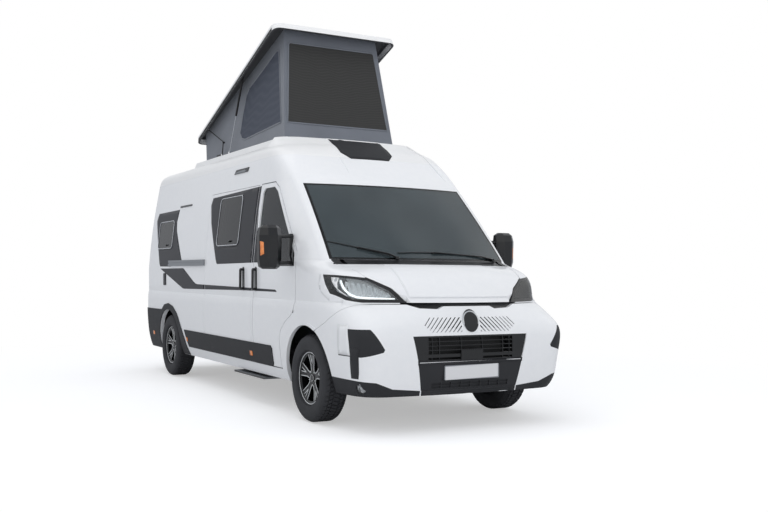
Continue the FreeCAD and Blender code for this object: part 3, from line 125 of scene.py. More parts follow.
# World: even light from all round, a little patchy so that shiny parts have something to mirror,
# and plain white where the camera looks out.
world = bpy.data.worlds.new("studio_walls")
bpy.context.scene.world = world
world.use_nodes = True
walls = world.node_tree
walls.nodes.clear()
ROOM_LIGHT = 1.0248
PATCH_SCALE = 1.7
PATCH_EDGES = (0.38, 0.62)
sight = add_node(walls, "LightPath")
seen = add_node(walls, "Math", {"operation": "MAXIMUM"},
                {0: sight.outputs["Is Camera Ray"], 1: sight.outputs["Is Transmission Ray"]})
air = add_node(walls, "TexCoord")
patches = add_node(walls, "TexNoise", {"Scale": PATCH_SCALE, "Detail": 2.0},
                   {"Vector": air.outputs["Generated"]})
tone = add_node(walls, "ValToRGB", {}, {"Fac": patches.outputs["Fac"]})
for element, position, code in zip(tone.color_ramp.elements, PATCH_EDGES, ("#b9bdc4", "#ffffff")):
    element.position = position
    element.color = colour(code)
room = add_node(walls, "Background", {"Strength": ROOM_LIGHT}, {"Color": tone.outputs["Color"]})
white_wall = add_node(walls, "Background", {"Color": (1, 1, 1, 1), "Strength": 1.0})
both = add_node(walls, "MixShader", {}, {0: seen.outputs[0], 1: room.outputs[0], 2: white_wall.outputs[0]})
add_node(walls, "OutputWorld", {}, {"Surface": both.outputs[0]})

# Floor: a matt pale sweep that the shadow falls on. Away from the van it fades to the white of
# the wall, so that no horizon shows.
FLOOR_HALF = 40.0
FLOOR_DROP = mm(0.5)
FLOOR_GLOW = 0.42
FADE_NEAR = 3.2
FADE_FAR = 7.0
floor_mesh = bpy.data.meshes.new("studio_floor")
floor_mesh.from_pydata([(-FLOOR_HALF, -FLOOR_HALF, 0), (FLOOR_HALF, -FLOOR_HALF, 0),
                        (FLOOR_HALF, FLOOR_HALF, 0), (-FLOOR_HALF, FLOOR_HALF, 0)], [], [(0, 1, 2, 3)])
floor = bpy.data.objects.new("studio_floor", floor_mesh)
floor.location.z = -FLOOR_DROP
bpy.context.scene.collection.objects.link(floor)
floor_finish, tree = blank_material("matt white sweep")
sight = add_node(tree, "LightPath")
matt = add_node(tree, "BsdfDiffuse", {"Color": colour("#d9dadc")})
glow = add_node(tree, "Emission", {"Color": (1, 1, 1, 1), "Strength": FLOOR_GLOW})
lifted = add_node(tree, "AddShader", {}, {0: matt.outputs[0], 1: glow.outputs[0]})
spot = add_node(tree, "TexCoord")
distance = add_node(tree, "VectorMath", {"operation": "LENGTH"}, {0: spot.outputs["Object"]})
far = add_node(tree, "MapRange",
               {"interpolation_type": "SMOOTHSTEP", "From Min": FADE_NEAR, "From Max": FADE_FAR},
               {"Value": distance.outputs["Value"]})
white = add_node(tree, "Emission", {"Color": (1, 1, 1, 1), "Strength": 1.0})
faded = add_node(tree, "MixShader", {}, {0: far.outputs[0], 1: lifted.outputs[0], 2: white.outputs[0]})
shown = add_node(tree, "MixShader", {},
                 {0: sight.outputs["Is Camera Ray"], 1: matt.outputs[0], 2: faded.outputs[0]})
add_node(tree, "OutputMaterial", {}, {"Surface": shown.outputs[0]})
floor_mesh.materials.append(floor_finish)

# Lamps: one wide soft box above the van, and a smaller one before its front. Each is a name, a
# place, what it points at, its width in metres and its power in watts.
LAMPS = [
    ("top_box", (along(-1200), -1.2, 8.0), (along(-1500), 0, 1.0), 6.5, 150.0),
    ("front_box", (along(8800), -1.8, 1.7), (along(300), 0, 1.0), 3.5, 95.0),
]
for name, place, target, size, power in LAMPS:
    lamp_data = bpy.data.lights.new(name, "AREA")
    lamp_data.size = size
    lamp_data.energy = power
    lamp = bpy.data.objects.new(name, lamp_data)
    lamp.location = place
    lamp.visible_glossy = False
    lamp.rotation_mode = "QUATERNION"
    lamp.rotation_quaternion = (Vector(target) - Vector(place)).to_track_quat("-Z", "Y")
    bpy.context.scene.collection.objects.link(lamp)


# White panels: pressed steel doors, walls and wings, sprayed white under clear lacquer. The
# lacquer gives sharp reflections over a soft white, with the faint ripple of sprayed paint.
def dress(nodes, material):
    """Gives CAD nodes one finish all over."""
    for name in nodes:
        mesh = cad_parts[name].data
        mesh.materials.clear()
        mesh.materials.append(material)


def dress_where(name, material, chosen):
    """Gives the faces of a CAD node that a test picks, by centre and normal, a second finish."""
    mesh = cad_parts[name].data
    mesh.materials.append(material)
    number = len(mesh.materials) - 1
    for face in mesh.polygons:
        if chosen(face.center, face.normal):
            face.material_index = number


def toned_finish(name, tones, texture, surface, relief=None, grain=None, stretch=None):
    """A finish whose colour goes between two tones along a texture, with a bump if it has relief.

    A texture is its node's kind, its settings and the output used, unless that is Fac. The bump
    follows the grain, or else the same texture. A finish that gives off light does so in its colour.
    """
    material, tree = blank_material(name)
    spot = add_node(tree, "TexCoord").outputs["Object"]
    if stretch:
        spot = add_node(tree, "Mapping", {"Scale": stretch}, {"Vector": spot}).outputs["Vector"]
    heights = []
    for kind, settings, *output in (texture, grain) if grain else (texture,):
        pattern = add_node(tree, kind, settings, {"Vector": spot})
        heights.append(pattern.outputs[output[0] if output else "Fac"])
    shade = add_node(tree, "ValToRGB", {}, {"Fac": heights[0]})
    for element, tone in zip(shade.color_ramp.elements, tones):
        element.color = colour(tone)
    feeds = {"Base Color": shade.outputs["Color"]}
    if "Emission Strength" in surface:
        feeds["Emission Color"] = shade.outputs["Color"]
    if relief:
        strength, depth = relief
        bump = add_node(tree, "Bump", {"Strength": strength, "Distance": depth}, {"Height": heights[-1]})
        feeds["Normal"] = bump.outputs["Normal"]
    shell = add_node(tree, "BsdfPrincipled", surface, feeds)
    add_node(tree, "OutputMaterial", {}, {"Surface": shell.outputs[0]})
    return material


white_paint = toned_finish("white two-coat car paint", ("#eceef1", "#f2f3f5"),
                           ("TexNoise", {"Scale": 1 / mm(60), "Detail": 3.0}),
                           {"Roughness": 0.42, "IOR": 1.5, "Coat Weight": 0.8, "Coat Roughness": 0.04},
                           relief=(0.02, mm(0.2)), grain=("TexNoise", {"Scale": 1 / mm(9), "Detail": 1.0}))
PAINTED = ["side_wall_right", "side_wall_left", "sliding_door", "cab_shell", "front_wings", "bonnet",
           "cab_door_right", "cab_door_left", "rear_door_right", "rear_door_left", "rear_header",
           "front_bumper"]
dress(PAINTED, white_paint)

# Air slots: cut through the bumper beside the badge. Their walls are coloured near black as painted
# shade, so that each slot reads as a dark slanted line.
SLOTS_ACROSS = (mm(60), mm(480))
SLOTS_UP = (mm(812), mm(915))


def in_slot(centre, normal):
    """The slanted walls of the air slots, which face across more than forwards."""
    beside = SLOTS_ACROSS[0] < abs(centre.y) < SLOTS_ACROSS[1] and SLOTS_UP[0] < centre.z < SLOTS_UP[1]
    return beside and abs(normal.x) < 0.6 and abs(normal.y) > 0.3


# painted shade: near black on the slot walls stands for the shade inside each slot
slot_walls_painted_shade = toned_finish("slot walls in painted shade", ("#050506", "#0b0b0c"),
                           ("TexNoise", {"Scale": 1 / mm(30)}), {"Roughness": 0.7, "IOR": 1.5})
dress_where("front_bumper", slot_walls_painted_shade, in_slot)

# Roof panel, fairing and raised roof: glass-fibre laminate moulded in white gel coat. It is
# smoother and softer to the eye than paint, with no lacquer over it.
gel_coat = toned_finish("white gel coat on laminate", ("#eaebec", "#f0f0f0"),
                        ("TexNoise", {"Scale": 1 / mm(140), "Detail": 2.0}), {"Roughness": 0.3, "IOR": 1.5})
dress(["roof_panel", "roof_fairing", "pop_roof"], gel_coat)

# Raised roof: the ceiling and the foot of its rim are lined with needle felt without shine. The foot
# of the rim is black; the ceiling, facing down into the hollow of the roof, is near black as painted shade.
felt_and_painted_shade = toned_finish("charcoal felt rim and ceiling in painted shade", ("#232427", "#34363a"),
                      ("TexNoise", {"Scale": 1 / mm(4), "Detail": 4.0}),
                      {"Roughness": 0.95, "IOR": 1.45, "Sheen Weight": 0.3}, relief=(0.4, mm(1)))
ROOF_TILT = math.radians(19.88)
ROOF_REAR = Vector((along(-4039), 0, mm(2807)))
ROOF_UP = Vector((-math.sin(ROOF_TILT), 0, math.cos(ROOF_TILT)))
ROOF_ALONG = Vector((math.cos(ROOF_TILT), 0, math.sin(ROOF_TILT)))
EDGE_HEIGHT = mm(16)


def roof_rim(centre, normal):
    """The foot of the rim and all that faces down inside the raised roof."""
    height = (centre - ROOF_REAR).dot(ROOF_UP)
    return height < EDGE_HEIGHT or normal.dot(ROOF_UP) < -0.1


# painted shade on the faces that look down into the roof's hollow; the foot of the rim is black
dress_where("pop_roof", felt_and_painted_shade, roof_rim)

# Dark trims: bumper corners, sill strips and wheel arches, moulded in polypropylene that is
# charcoal all through. A leather-like grain, drawn coarser than it is, kills its shine.
charcoal_moulding = toned_finish("charcoal grained polypropylene", ("#28292c", "#2f3033"),
                                 ("TexNoise", {"Scale": 1 / mm(90), "Detail": 3.0}),
                                 {"Roughness": 0.6, "IOR": 1.49, "Specular IOR Level": 0.3},
                                 relief=(0.15, mm(0.5)),
                                 grain=("TexVoronoi", {"Scale": 1 / mm(5), "feature": "DISTANCE_TO_EDGE"},
                                        "Distance"))
dress(["bumper_trim", "side_trims", "rear_bumper"], charcoal_moulding)

# Black parts: mirror shells, grille, lamp surrounds and handles, moulded in ABS with a satin
# face, which gives the room back as a soft sheen on near black.
satin_black = toned_finish("black ABS, satin moulded", ("#0f1012", "#17181a"),
                           ("TexNoise", {"Scale": 1 / mm(40), "Detail": 2.0}),
                           {"Roughness": 0.28, "IOR": 1.54})
dress(["door_hardware_right", "door_hardware_left", "grille", "scuttle"], satin_black)

# Underside: chassis, axles and engine in dip-coated steel, satin black and a little dusty.
dipped_steel = toned_finish("satin black dipped steel", ("#0c0c0d", "#1b1b1c"),
                            ("TexNoise", {"Scale": 1 / mm(70), "Detail": 5.0}),
                            {"Roughness": 0.6, "IOR": 1.5})
dress(["floor_pan", "chassis_frame", "front_subframe", "rear_axle", "knuckle_right", "knuckle_left",
       "engine_block", "underfloor_tanks", "roof_lower_links", "roof_upper_arms", "strut_cylinders"],
      dipped_steel)

# Bright steel: the struts' piston rods, ground and hard chromed, the one bright line by the tent.
piston_chrome = toned_finish("hard chromed piston rod", ("#b9bcc0", "#d5d7da"),
                             ("TexNoise", {"Scale": 1 / mm(3)}), {"Roughness": 0.15, "Metallic": 1.0})
dress(["strut_rods"], piston_chrome)

# Anodised aluminium: the sliding door's rail cover, the entry step and the plate's frame,
# extruded with fine die lines along the van under a clear satin anodised skin.
# the die lines stand wider apart than the real ones, so that they show
DIE_LINE = mm(3)
GRIP_SPAN = (-1600, -1400)
anodised = toned_finish("satin anodised aluminium", ("#84878b", "#a2a5a9"),
                        ("TexNoise", {"Scale": 1.0, "Detail": 2.0}), {"Roughness": 0.38, "Metallic": 1.0},
                        relief=(0.1, mm(0.2)), stretch=(2.0, 1 / DIE_LINE, 1 / DIE_LINE))
dress(["slide_rail", "entry_step", "number_plate"], anodised)


def is_handle(centre, normal):
    """The sliding door's grip, which shares its node with the rail."""
    return along(GRIP_SPAN[0]) < centre.x < along(GRIP_SPAN[1])


dress_where("slide_rail", satin_black, is_handle)


# Cab glass: laminated windscreen and toughened door and rear panes, tinted slightly green. They
# mirror the room over a dark cab, and a matt tone, patchy by noise, is mixed into each pane as painted
# reflection of the room and painted shade of the dark behind it. The windscreen has a black ceramic
# border where it is bonded in.
def pane_finish(name, tint, painted_tones, painted_share, border=None):
    """Tinted glass that is seen through, with a matt tone mixed in as painted reflection and painted shade; a
    border socket of 1 turns it to black ceramic.
    """
    material, tree = blank_material(name)
    spot = add_node(tree, "TexCoord")
    # painted reflection and painted shade: a patchy matt tone mixed into the glass
    painted_patches = add_node(tree, "TexNoise", {"Scale": 1 / mm(420), "Detail": 3.0},
                     {"Vector": spot.outputs["Object"]})
    shade = add_node(tree, "ValToRGB", {}, {"Fac": painted_patches.outputs["Fac"]})
    for element, tone in zip(shade.color_ramp.elements, painted_tones):
        element.color = colour(tone)
    clear = add_node(tree, "BsdfTransparent", {"Color": colour(tint)})
    painted_matt_tone = add_node(tree, "BsdfDiffuse", {}, {"Color": shade.outputs["Color"]})
    body = add_node(tree, "MixShader", {"Fac": painted_share}, {1: clear.outputs[0], 2: painted_matt_tone.outputs[0]})
    if border:
        ceramic = add_node(tree, "BsdfDiffuse", {"Color": colour("#0a0b0c")})
        body = add_node(tree, "MixShader", {},
                        {0: border(tree, spot), 1: body.outputs[0], 2: ceramic.outputs[0]})
    shine = add_node(tree, "BsdfGlossy", {"Roughness": 0.02})
    edge = add_node(tree, "Fresnel", {"IOR": 1.52})
    both = add_node(tree, "MixShader", {}, {0: edge.outputs[0], 1: body.outputs[0], 2: shine.outputs[0]})
    add_node(tree, "OutputMaterial", {}, {"Surface": both.outputs[0]})
    return material


SCREEN_LOW = mm(1358)
SCREEN_HIGH = mm(2048)
SCREEN_HALF_LOW = mm(878)
SCREEN_HALF_HIGH = mm(822)
BORDER_WIDTH = mm(24)
BORDER_HEIGHT = mm(16)


def screen_border(tree, spot):
    """One near the edge of the windscreen and nothing in its middle."""
    place = add_node(tree, "SeparateXYZ", {}, {0: spot.outputs["Object"]})
    across = add_node(tree, "Math", {"operation": "ABSOLUTE"}, {0: place.outputs["Y"]})
    half = add_node(tree, "MapRange", {"From Min": SCREEN_LOW, "From Max": SCREEN_HIGH,
                                       "To Min": SCREEN_HALF_LOW - BORDER_WIDTH,
                                       "To Max": SCREEN_HALF_HIGH - BORDER_WIDTH},
                    {"Value": place.outputs["Z"]})
    sides = add_node(tree, "Math", {"operation": "GREATER_THAN"}, {0: across.outputs[0], 1: half.outputs[0]})
    low = add_node(tree, "Math", {"operation": "LESS_THAN", 1: SCREEN_LOW + BORDER_HEIGHT},
                   {0: place.outputs["Z"]})
    high = add_node(tree, "Math", {"operation": "GREATER_THAN", 1: SCREEN_HIGH - BORDER_HEIGHT},
                    {0: place.outputs["Z"]})
    ends = add_node(tree, "Math", {"operation": "MAXIMUM"}, {0: low.outputs[0], 1: high.outputs[0]})
    rim = add_node(tree, "Math", {"operation": "MAXIMUM"}, {0: sides.outputs[0], 1: ends.outputs[0]})
    return rim.outputs[0]


screen_glass = pane_finish("laminated windscreen glass", "#b4c3c5", ("#4c575c", "#6f7d82"), 0.4,
                           screen_border)
dress(["windscreen"], screen_glass)
cab_glass = pane_finish("toughened door glass", "#d2dada", ("#22272a", "#2f3538"), 0.2)
dress(["door_glass_right", "door_glass_left", "rear_glass_right", "rear_glass_left"], cab_glass)


def whole_tree(*names):
    """A search tree over the meshes of CAD nodes."""
    points = []
    faces = []
    for name in names:
        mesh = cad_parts[name].data
        start = len(points)
        points += [tuple(v.co) for v in mesh.vertices]
        faces += [tuple(start + v for v in face.vertices) for face in mesh.polygons]
    return BVHTree.FromPolygons(points, faces)


def new_piece(name, form, material, body, smooth=True, outward=None):
    """Makes a piece of a bmesh in one finish, riding on a body, and gives its object.

    Its faces turn outwards, or those of a sheet turn to the side given as outward.
    """
    if outward is None:
        bmesh.ops.recalc_face_normals(form, faces=form.faces)
    else:
        for face in form.faces:
            if face.normal.dot(outward) < 0:
                face.normal_flip()
    mesh = bpy.data.meshes.new(name)
    form.to_mesh(mesh)
    form.free()
    for face in mesh.polygons:
        face.use_smooth = smooth
    mesh.materials.append(material)
    piece = bpy.data.objects.new(name, mesh)
    bpy.context.scene.collection.objects.link(piece)
    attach(piece, body)
    return piece


def band(form, low, high):
    """Joins two rings of points of a bmesh by a band of faces."""
    for number, point in enumerate(low):
        after = (number + 1) % len(low)
        form.faces.new((point, low[after], high[after], high[number]))


def tube(form, points, radii, sides=8, closed=False, flatten=1.0, up=None):
    """Adds a tube along points to a bmesh, round or flattened, with capped ends."""
    rings = []
    count = len(points)
    for index, point in enumerate(points):
        before = points[(index - 1) % count] if closed or index else points[0]
        after = points[(index + 1) % count] if closed or index < count - 1 else points[-1]
        way = (Vector(after) - Vector(before)).normalized()
        lean = Vector(up) if up else Vector((0, 0, 1)) if abs(way.z) < 0.9 else Vector((1, 0, 0))
        first = way.cross(lean).normalized()
        second = first.cross(way).normalized()
        radius = radii[index] if isinstance(radii, list) else radii
        ring = []
        for side in range(sides):
            turn = 2 * math.pi * (side + 0.5) / sides
            offset = first * (radius * math.cos(turn)) + second * (radius * flatten * math.sin(turn))
            ring.append(form.verts.new(Vector(point) + offset))
        rings.append(ring)
    pairs = list(zip(rings, rings[1:]))
    if closed:
        pairs.append((rings[-1], rings[0]))
    for low, high in pairs:
        band(form, low, high)
    if not closed:
        form.faces.new(rings[0])
        form.faces.new(rings[-1])


# Wipers: pressed steel arms, sprung from spindles under the scuttle, that hold a rubber blade
# in a black frame along the foot of the glass. Both are painted satin black.
screen_tree = whole_tree("windscreen")
WIPER_LIFT = mm(9)
BLADE_RADIUS = mm(8)
BLADE_STEPS = 14
ARM_RADIUS = mm(9)
ARM_FLAT = 0.6
HUB_RADIUS = mm(17)
# the blade's tip and heel, the spindle and where the arm holds the blade, from the axle's line
WIPERS = [
    ("right", (-10, -838, 1502), (255, -335, 1388), (262, -310, 1364), (120, -610, 1446)),
    ("left", (222, -285, 1412), (214, 400, 1400), (165, 745, 1362), (236, 60, 1412)),
]


def on_screen(place, lift):
    """The place above the windscreen nearest to a point given in millimetres from the axle."""
    x, y, z = place
    found, normal, _, _ = screen_tree.find_nearest(Vector((along(x), mm(y), mm(z))))
    if normal.x < 0:
        normal = -normal
    return found + normal * lift


def step_off(place, forward, up):
    """A place moved forwards and up by millimetres."""
    return place + Vector((mm(forward), 0, mm(up)))


for side, tip, heel, spindle, middle in WIPERS:
    form = bmesh.new()
    line = []
    radii = []
    for step in range(BLADE_STEPS + 1):
        share = step / BLADE_STEPS
        line.append(on_screen(Vector(tip).lerp(Vector(heel), share), WIPER_LIFT))
        radii.append(BLADE_RADIUS * (0.55 + 0.45 * math.sin(math.pi * (0.1 + 0.8 * share))))
    tube(form, line, radii, flatten=0.7)
    foot = step_off(Vector((along(spindle[0]), mm(spindle[1]), mm(spindle[2]))), 6, 12)
    joint = on_screen(middle, WIPER_LIFT + mm(14))
    arm = [foot, step_off(foot.lerp(joint, 0.22), 8, 14), step_off(foot.lerp(joint, 0.6), 6, 8), joint]
    tube(form, arm, [ARM_RADIUS * share for share in (1.5, 1.2, 1.0, 0.8)], flatten=ARM_FLAT)
    tube(form, [step_off(foot, -4, -22), step_off(foot, 3, 8)], HUB_RADIUS, sides=14)
    tube(form, [joint, on_screen(middle, WIPER_LIFT - mm(2))], ARM_RADIUS)
    new_piece("wiper_" + side, form, satin_black, "root")


# Decor films: anthracite vinyl cut by plotter and laid on the paint round the living space's
# windows and as a swept stripe. It is split at each door gap and follows every crease.
decor_vinyl = toned_finish("anthracite cast vinyl film", ("#212227", "#27282e"),
                           ("TexNoise", {"Scale": 1 / mm(260), "Detail": 2.0}),
                           {"Roughness": 0.42, "IOR": 1.5, "Specular IOR Level": 0.3},
                           relief=(0.04, mm(0.2)), grain=("TexNoise", {"Scale": 1 / mm(14), "Detail": 2.0}))
FILM_LIFT = mm(0.9)
FILM_CELL = mm(48)
FILM_RELIEF = mm(90)
CREASES = (1110, 1208, 1290, 1345, 1720)
FAR_OUT = 4.0


def cut_form(form, place, way, keep_side=0):
    """Cuts a bmesh along a plane, and drops what lies before or behind it if asked."""
    whole = form.verts[:] + form.edges[:] + form.faces[:]
    bmesh.ops.bisect_plane(form, geom=whole, plane_co=place, plane_no=way, clear_inner=keep_side > 0,
                           clear_outer=keep_side < 0)


ON_SIDE = {RIGHT: Vector((0, RIGHT, 0)), LEFT: Vector((0, LEFT, 0))}
ON_TOP = Vector((0, 0, 1))
ON_FRONT = Vector((1, 0, 0))


def laid_film(name, corners, carriers, outward, finish, body, lift=FILM_LIFT,
              hole=None, span=None, relief=FILM_RELIEF):
    """A thin skin cut to an outline in millimetres, seen from outside, and laid on the van's surface.

    The outline has places along and up for a side, along and across for the top, and across and
    up for the front. span cuts it off along the van. What lies deeper than relief isn't followed.
    """
    missing = max(range(3), key=lambda axis: abs(outward[axis]))
    first, second = [axis for axis in range(3) if axis != missing]

    def flat(a, b):
        point = Vector((0, 0, 0))
        point[first] = along(a) if first == 0 else mm(a)
        point[second] = mm(b)
        return point

    form = bmesh.new()
    loops = [[flat(a, b) for a, b in loop] for loop in (corners, hole or [])]
    verts = [form.verts.new(point) for loop in loops for point in loop]
    drawn = [[Vector((point[first], point[second], 0)) for point in loop] for loop in loops if loop]
    for three in tessellate_polygon(drawn):
        form.faces.new([verts[number] for number in three])
    if span:
        cut_form(form, (along(span[0]), 0, 0), (1, 0, 0), 1)
        cut_form(form, (along(span[1]), 0, 0), (1, 0, 0), -1)
    for axis in (first, second):
        way = Vector((0, 0, 0))
        way[axis] = 1
        low = min(v.co[axis] for v in form.verts)
        high = max(v.co[axis] for v in form.verts)
        cells = int((high - low) / FILM_CELL) + 1
        for cell in range(1, cells):
            cut_form(form, way * (low + (high - low) * cell / cells), way)
    if second == 2:
        for crease in CREASES:
            cut_form(form, (0, 0, mm(crease)), (0, 0, 1))
    tree = whole_tree(*carriers)
    struck = {vert: tree.ray_cast(vert.co + outward * FAR_OUT, -outward) for vert in form.verts}
    crest = max(hit[0].dot(outward) for hit in struck.values() if hit[0])
    for vert, (found, normal, _, _) in struck.items():
        if found is None or found.dot(outward) < crest - relief:
            found, normal, _, _ = tree.find_nearest(vert.co + outward * (crest - vert.co.dot(outward)))
        vert.co = found + (normal if normal.dot(outward) > 0 else -normal) * lift
    piece = new_piece(name, form, finish, body, outward=outward)
    thick = piece.modifiers.new("thickness", "SOLIDIFY")
    thick.thickness = lift * 0.8
    return piece


def window_outline(edges, radius, grow=0.0, steps=8):
    """A rectangle with round corners, in millimetres along and up, going round once."""
    rear, front, low, high = edges
    rear, front, low, high = rear - grow, front + grow, low - grow, high + grow
    radius += grow
    points = []
    for x, z, start in ((front - radius, high - radius, 0), (rear + radius, high - radius, 90),
                        (rear + radius, low + radius, 180), (front - radius, low + radius, 270)):
        for step in range(steps + 1):
            turn = math.radians(start + 90 * step / steps)
            points.append((x + radius * math.cos(turn), z + radius * math.sin(turn)))
    return points


WINDOW_ROUND = 60.0
SLIDE_WINDOW = (-2371, -1700, 1509, 2022)
REAR_WINDOW = (-4610, -3985, 1520, 1868)
SLIDE_PANEL = [(-2655, 2042), (-2690, 1965), (-2610, 1770), (-2350, 1372), (-2318, 1334), (-2290, 1327),
               (-1200, 1336), (-1200, 2068), (-1459, 2064)]
REAR_PANEL = [(-4735, 1978), (-4792, 1888), (-4480, 1345), (-4440, 1308), (-4000, 1306), (-3535, 1350),
              (-3568, 1387), (-3862, 1733), (-3899, 1841), (-3849, 1984)]
DOOR_CORNER = [(-1238, 1336), (-1085, 1336), (-1130, 1385), (-1174, 1443), (-1205, 1540), (-1222, 1690),
               (-1238, 1830)]
STRIPE = [(-4426, 1282), (-3485, 1285), (-3445, 1276), (-3086, 1136), (-3020, 1115), (-2950, 1108),
          (-1584, 1097), (-703, 1089), (-665, 1069), (-1515, 1068), (-3448, 1049), (-3500, 1054),
          (-3560, 1068)]
WALL_BEHIND = (-5000, -2706)
SLIDE_SPAN = (-2698, -1302)
PILLAR_SPAN = (-1294, -1251)
CAB_DOOR_SPAN = (-1238, -600)
LEFT_SPAN = (-5000, -1251)
slide_hole = window_outline(SLIDE_WINDOW, WINDOW_ROUND, 1.0)
rear_hole = window_outline(REAR_WINDOW, WINDOW_ROUND, 1.0)
FILMS = [
    ("film_slide_right", SLIDE_PANEL, slide_hole, SLIDE_SPAN, "sliding_door", RIGHT, "root"),
    ("film_pillar_right", SLIDE_PANEL, None, PILLAR_SPAN, "side_wall_right", RIGHT, "root"),
    ("film_corner_right", DOOR_CORNER, None, CAB_DOOR_SPAN, "cab_door_right", RIGHT, "cab_door_right"),
    ("film_rear_right", REAR_PANEL, rear_hole, WALL_BEHIND, "side_wall_right", RIGHT, "root"),
    ("stripe_rear_right", STRIPE, None, WALL_BEHIND, "side_wall_right", RIGHT, "root"),
    ("stripe_slide_right", STRIPE, None, SLIDE_SPAN, "sliding_door", RIGHT, "root"),
    ("stripe_pillar_right", STRIPE, None, PILLAR_SPAN, "side_wall_right", RIGHT, "root"),
    ("stripe_door_right", STRIPE, None, CAB_DOOR_SPAN, "cab_door_right", RIGHT, "cab_door_right"),
    ("film_slide_left", SLIDE_PANEL, slide_hole, LEFT_SPAN, "side_wall_left", LEFT, "root"),
    ("film_corner_left", DOOR_CORNER, None, CAB_DOOR_SPAN, "cab_door_left", LEFT, "cab_door_left"),
    ("film_rear_left", REAR_PANEL, rear_hole, LEFT_SPAN, "side_wall_left", LEFT, "root"),
    ("stripe_wall_left", STRIPE, None, LEFT_SPAN, "side_wall_left", LEFT, "root"),
    ("stripe_door_left", STRIPE, None, CAB_DOOR_SPAN, "cab_door_left", LEFT, "cab_door_left"),
]
for name, corners, hole, span, carrier, side, body in FILMS:
    laid_film(name, corners, [carrier], ON_SIDE[side], decor_vinyl, body, hole=hole, span=span)

# Pad over the cab: a moulded charcoal insert that fills the dip at the middle of the fairing, in
# the same grained polypropylene as the trims.
PAD = [(-1290, -288), (-1290, 289), (-916, 295), (-841, 219), (-838, -193), (-916, -270)]
laid_film("fairing_pad", PAD, ["roof_fairing", "roof_panel", "cab_shell"], ON_TOP, charcoal_moulding, "root",
          mm(2.2), relief=0.4)

# Living space windows: a smoked acrylic pane with a printed black edge that hides its clamped
# frame. A pleated blind hangs behind it, and a small lever latch sits at its foot.
smoked = pane_finish("smoked acrylic window pane", "#8a8c90", ("#232427", "#2b2c2f"), 0.22)
window_black = toned_finish("black screen-printed window edge", ("#1b1c1f", "#222327"),
                            ("TexNoise", {"Scale": 1 / mm(80), "Detail": 2.0}),
                            {"Roughness": 0.2, "IOR": 1.49})
dress(["side_windows"], window_black)
EDGE_BAND = 34


def within(edges, inset, x, z):
    """Whether a place lies inside a window's edges drawn in by a distance."""
    rear, front, low, high = edges
    return (along(rear + inset) < x < along(front - inset)) and (mm(low + inset) < z < mm(high - inset))


# Bead: an extruded rubber line without shine that draws the window's outline, coloured pale grey
# as a painted highlight along the window's edge.
BEAD_RADIUS = mm(3.4)
bead_painted_highlight = toned_finish("window bead in pale painted highlight", ("#c9ccd2", "#dcdfe4"),
                         ("TexNoise", {"Scale": 1 / mm(50), "Detail": 2.0}), {"Roughness": 0.4, "IOR": 1.5})
# Blind: a matt pleated cloth, whose folds catch the light as fine level lines.
blind_cloth = toned_finish("grey-brown pleated blind cloth", ("#8f8a84", "#aaa59e"),
                           ("TexNoise", {"Scale": 1 / mm(3), "Detail": 3.0}),
                           {"Roughness": 0.9, "IOR": 1.45, "Sheen Weight": 0.2}, relief=(0.3, mm(0.5)))
PLEAT_RISE = 20.0
PLEAT_DEPTH = 9.0
BLIND_MARGIN = 26.0
BLIND_BACK = mm(34)
LATCH_UP = 46
window_tree = whole_tree("side_windows")


def on_window(side, x, z, lift):
    """A place on the outer face of a side window, lifted from it."""
    outward = Vector((0, side, 0))
    found = window_tree.ray_cast(Vector((along(x), side * FAR_OUT, mm(z))), -outward)[0]
    return found + outward * lift


for side, word in SIDES:
    for place, edges in (("slide", SLIDE_WINDOW), ("rear", REAR_WINDOW)):
        rear, front, low, high = edges
        form = bmesh.new()
        ring = [on_window(side, x, z, mm(1)) for x, z in window_outline(edges, WINDOW_ROUND, -9.0)]
        tube(form, ring, BEAD_RADIUS, closed=True, up=(0, 1, 0))
        where = place + "_" + word
        new_piece("window_bead_" + where, form, bead_painted_highlight, "root")
        tall = high - low - 2 * BLIND_MARGIN
        pleats = int(tall / PLEAT_RISE)
        drop = tall / pleats
        form = bmesh.new()
        rows = []
        for row in range(2 * pleats + 1):
            z = high - BLIND_MARGIN - drop * row / 2
            depth = BLIND_BACK + (mm(PLEAT_DEPTH) if row % 2 else 0)
            line = []
            for x in (rear + BLIND_MARGIN, (rear + front) / 2, front - BLIND_MARGIN):
                line.append(form.verts.new(on_window(side, x, z, -depth)))
            rows.append(line)
        for first, second in zip(rows, rows[1:]):
            for number in range(2):
                form.faces.new((first[number], first[number + 1], second[number + 1], second[number]))
        blind = new_piece("blind_" + where, form, blind_cloth, "root", smooth=False)
        form = bmesh.new()
        lever = on_window(side, (rear * 0.4 + front * 0.6), low + LATCH_UP, mm(2))
        neck = lever + Vector((mm(10), side * mm(8), mm(2)))
        grip = lever + Vector((mm(46), side * mm(7), mm(6)))
        tube(form, [lever, neck, grip], [mm(13), mm(9), mm(6)], sides=10, flatten=0.8)
        new_piece("window_latch_" + where, form, satin_black, "root")


def seen_through(centre, normal):
    """The middle of each living space pane, inside its printed edge."""
    inside = any(within(edges, EDGE_BAND, centre.x, centre.z) for edges in (SLIDE_WINDOW, REAR_WINDOW))
    return inside and abs(normal.y) > 0.7


dress_where("side_windows", smoked, seen_through)

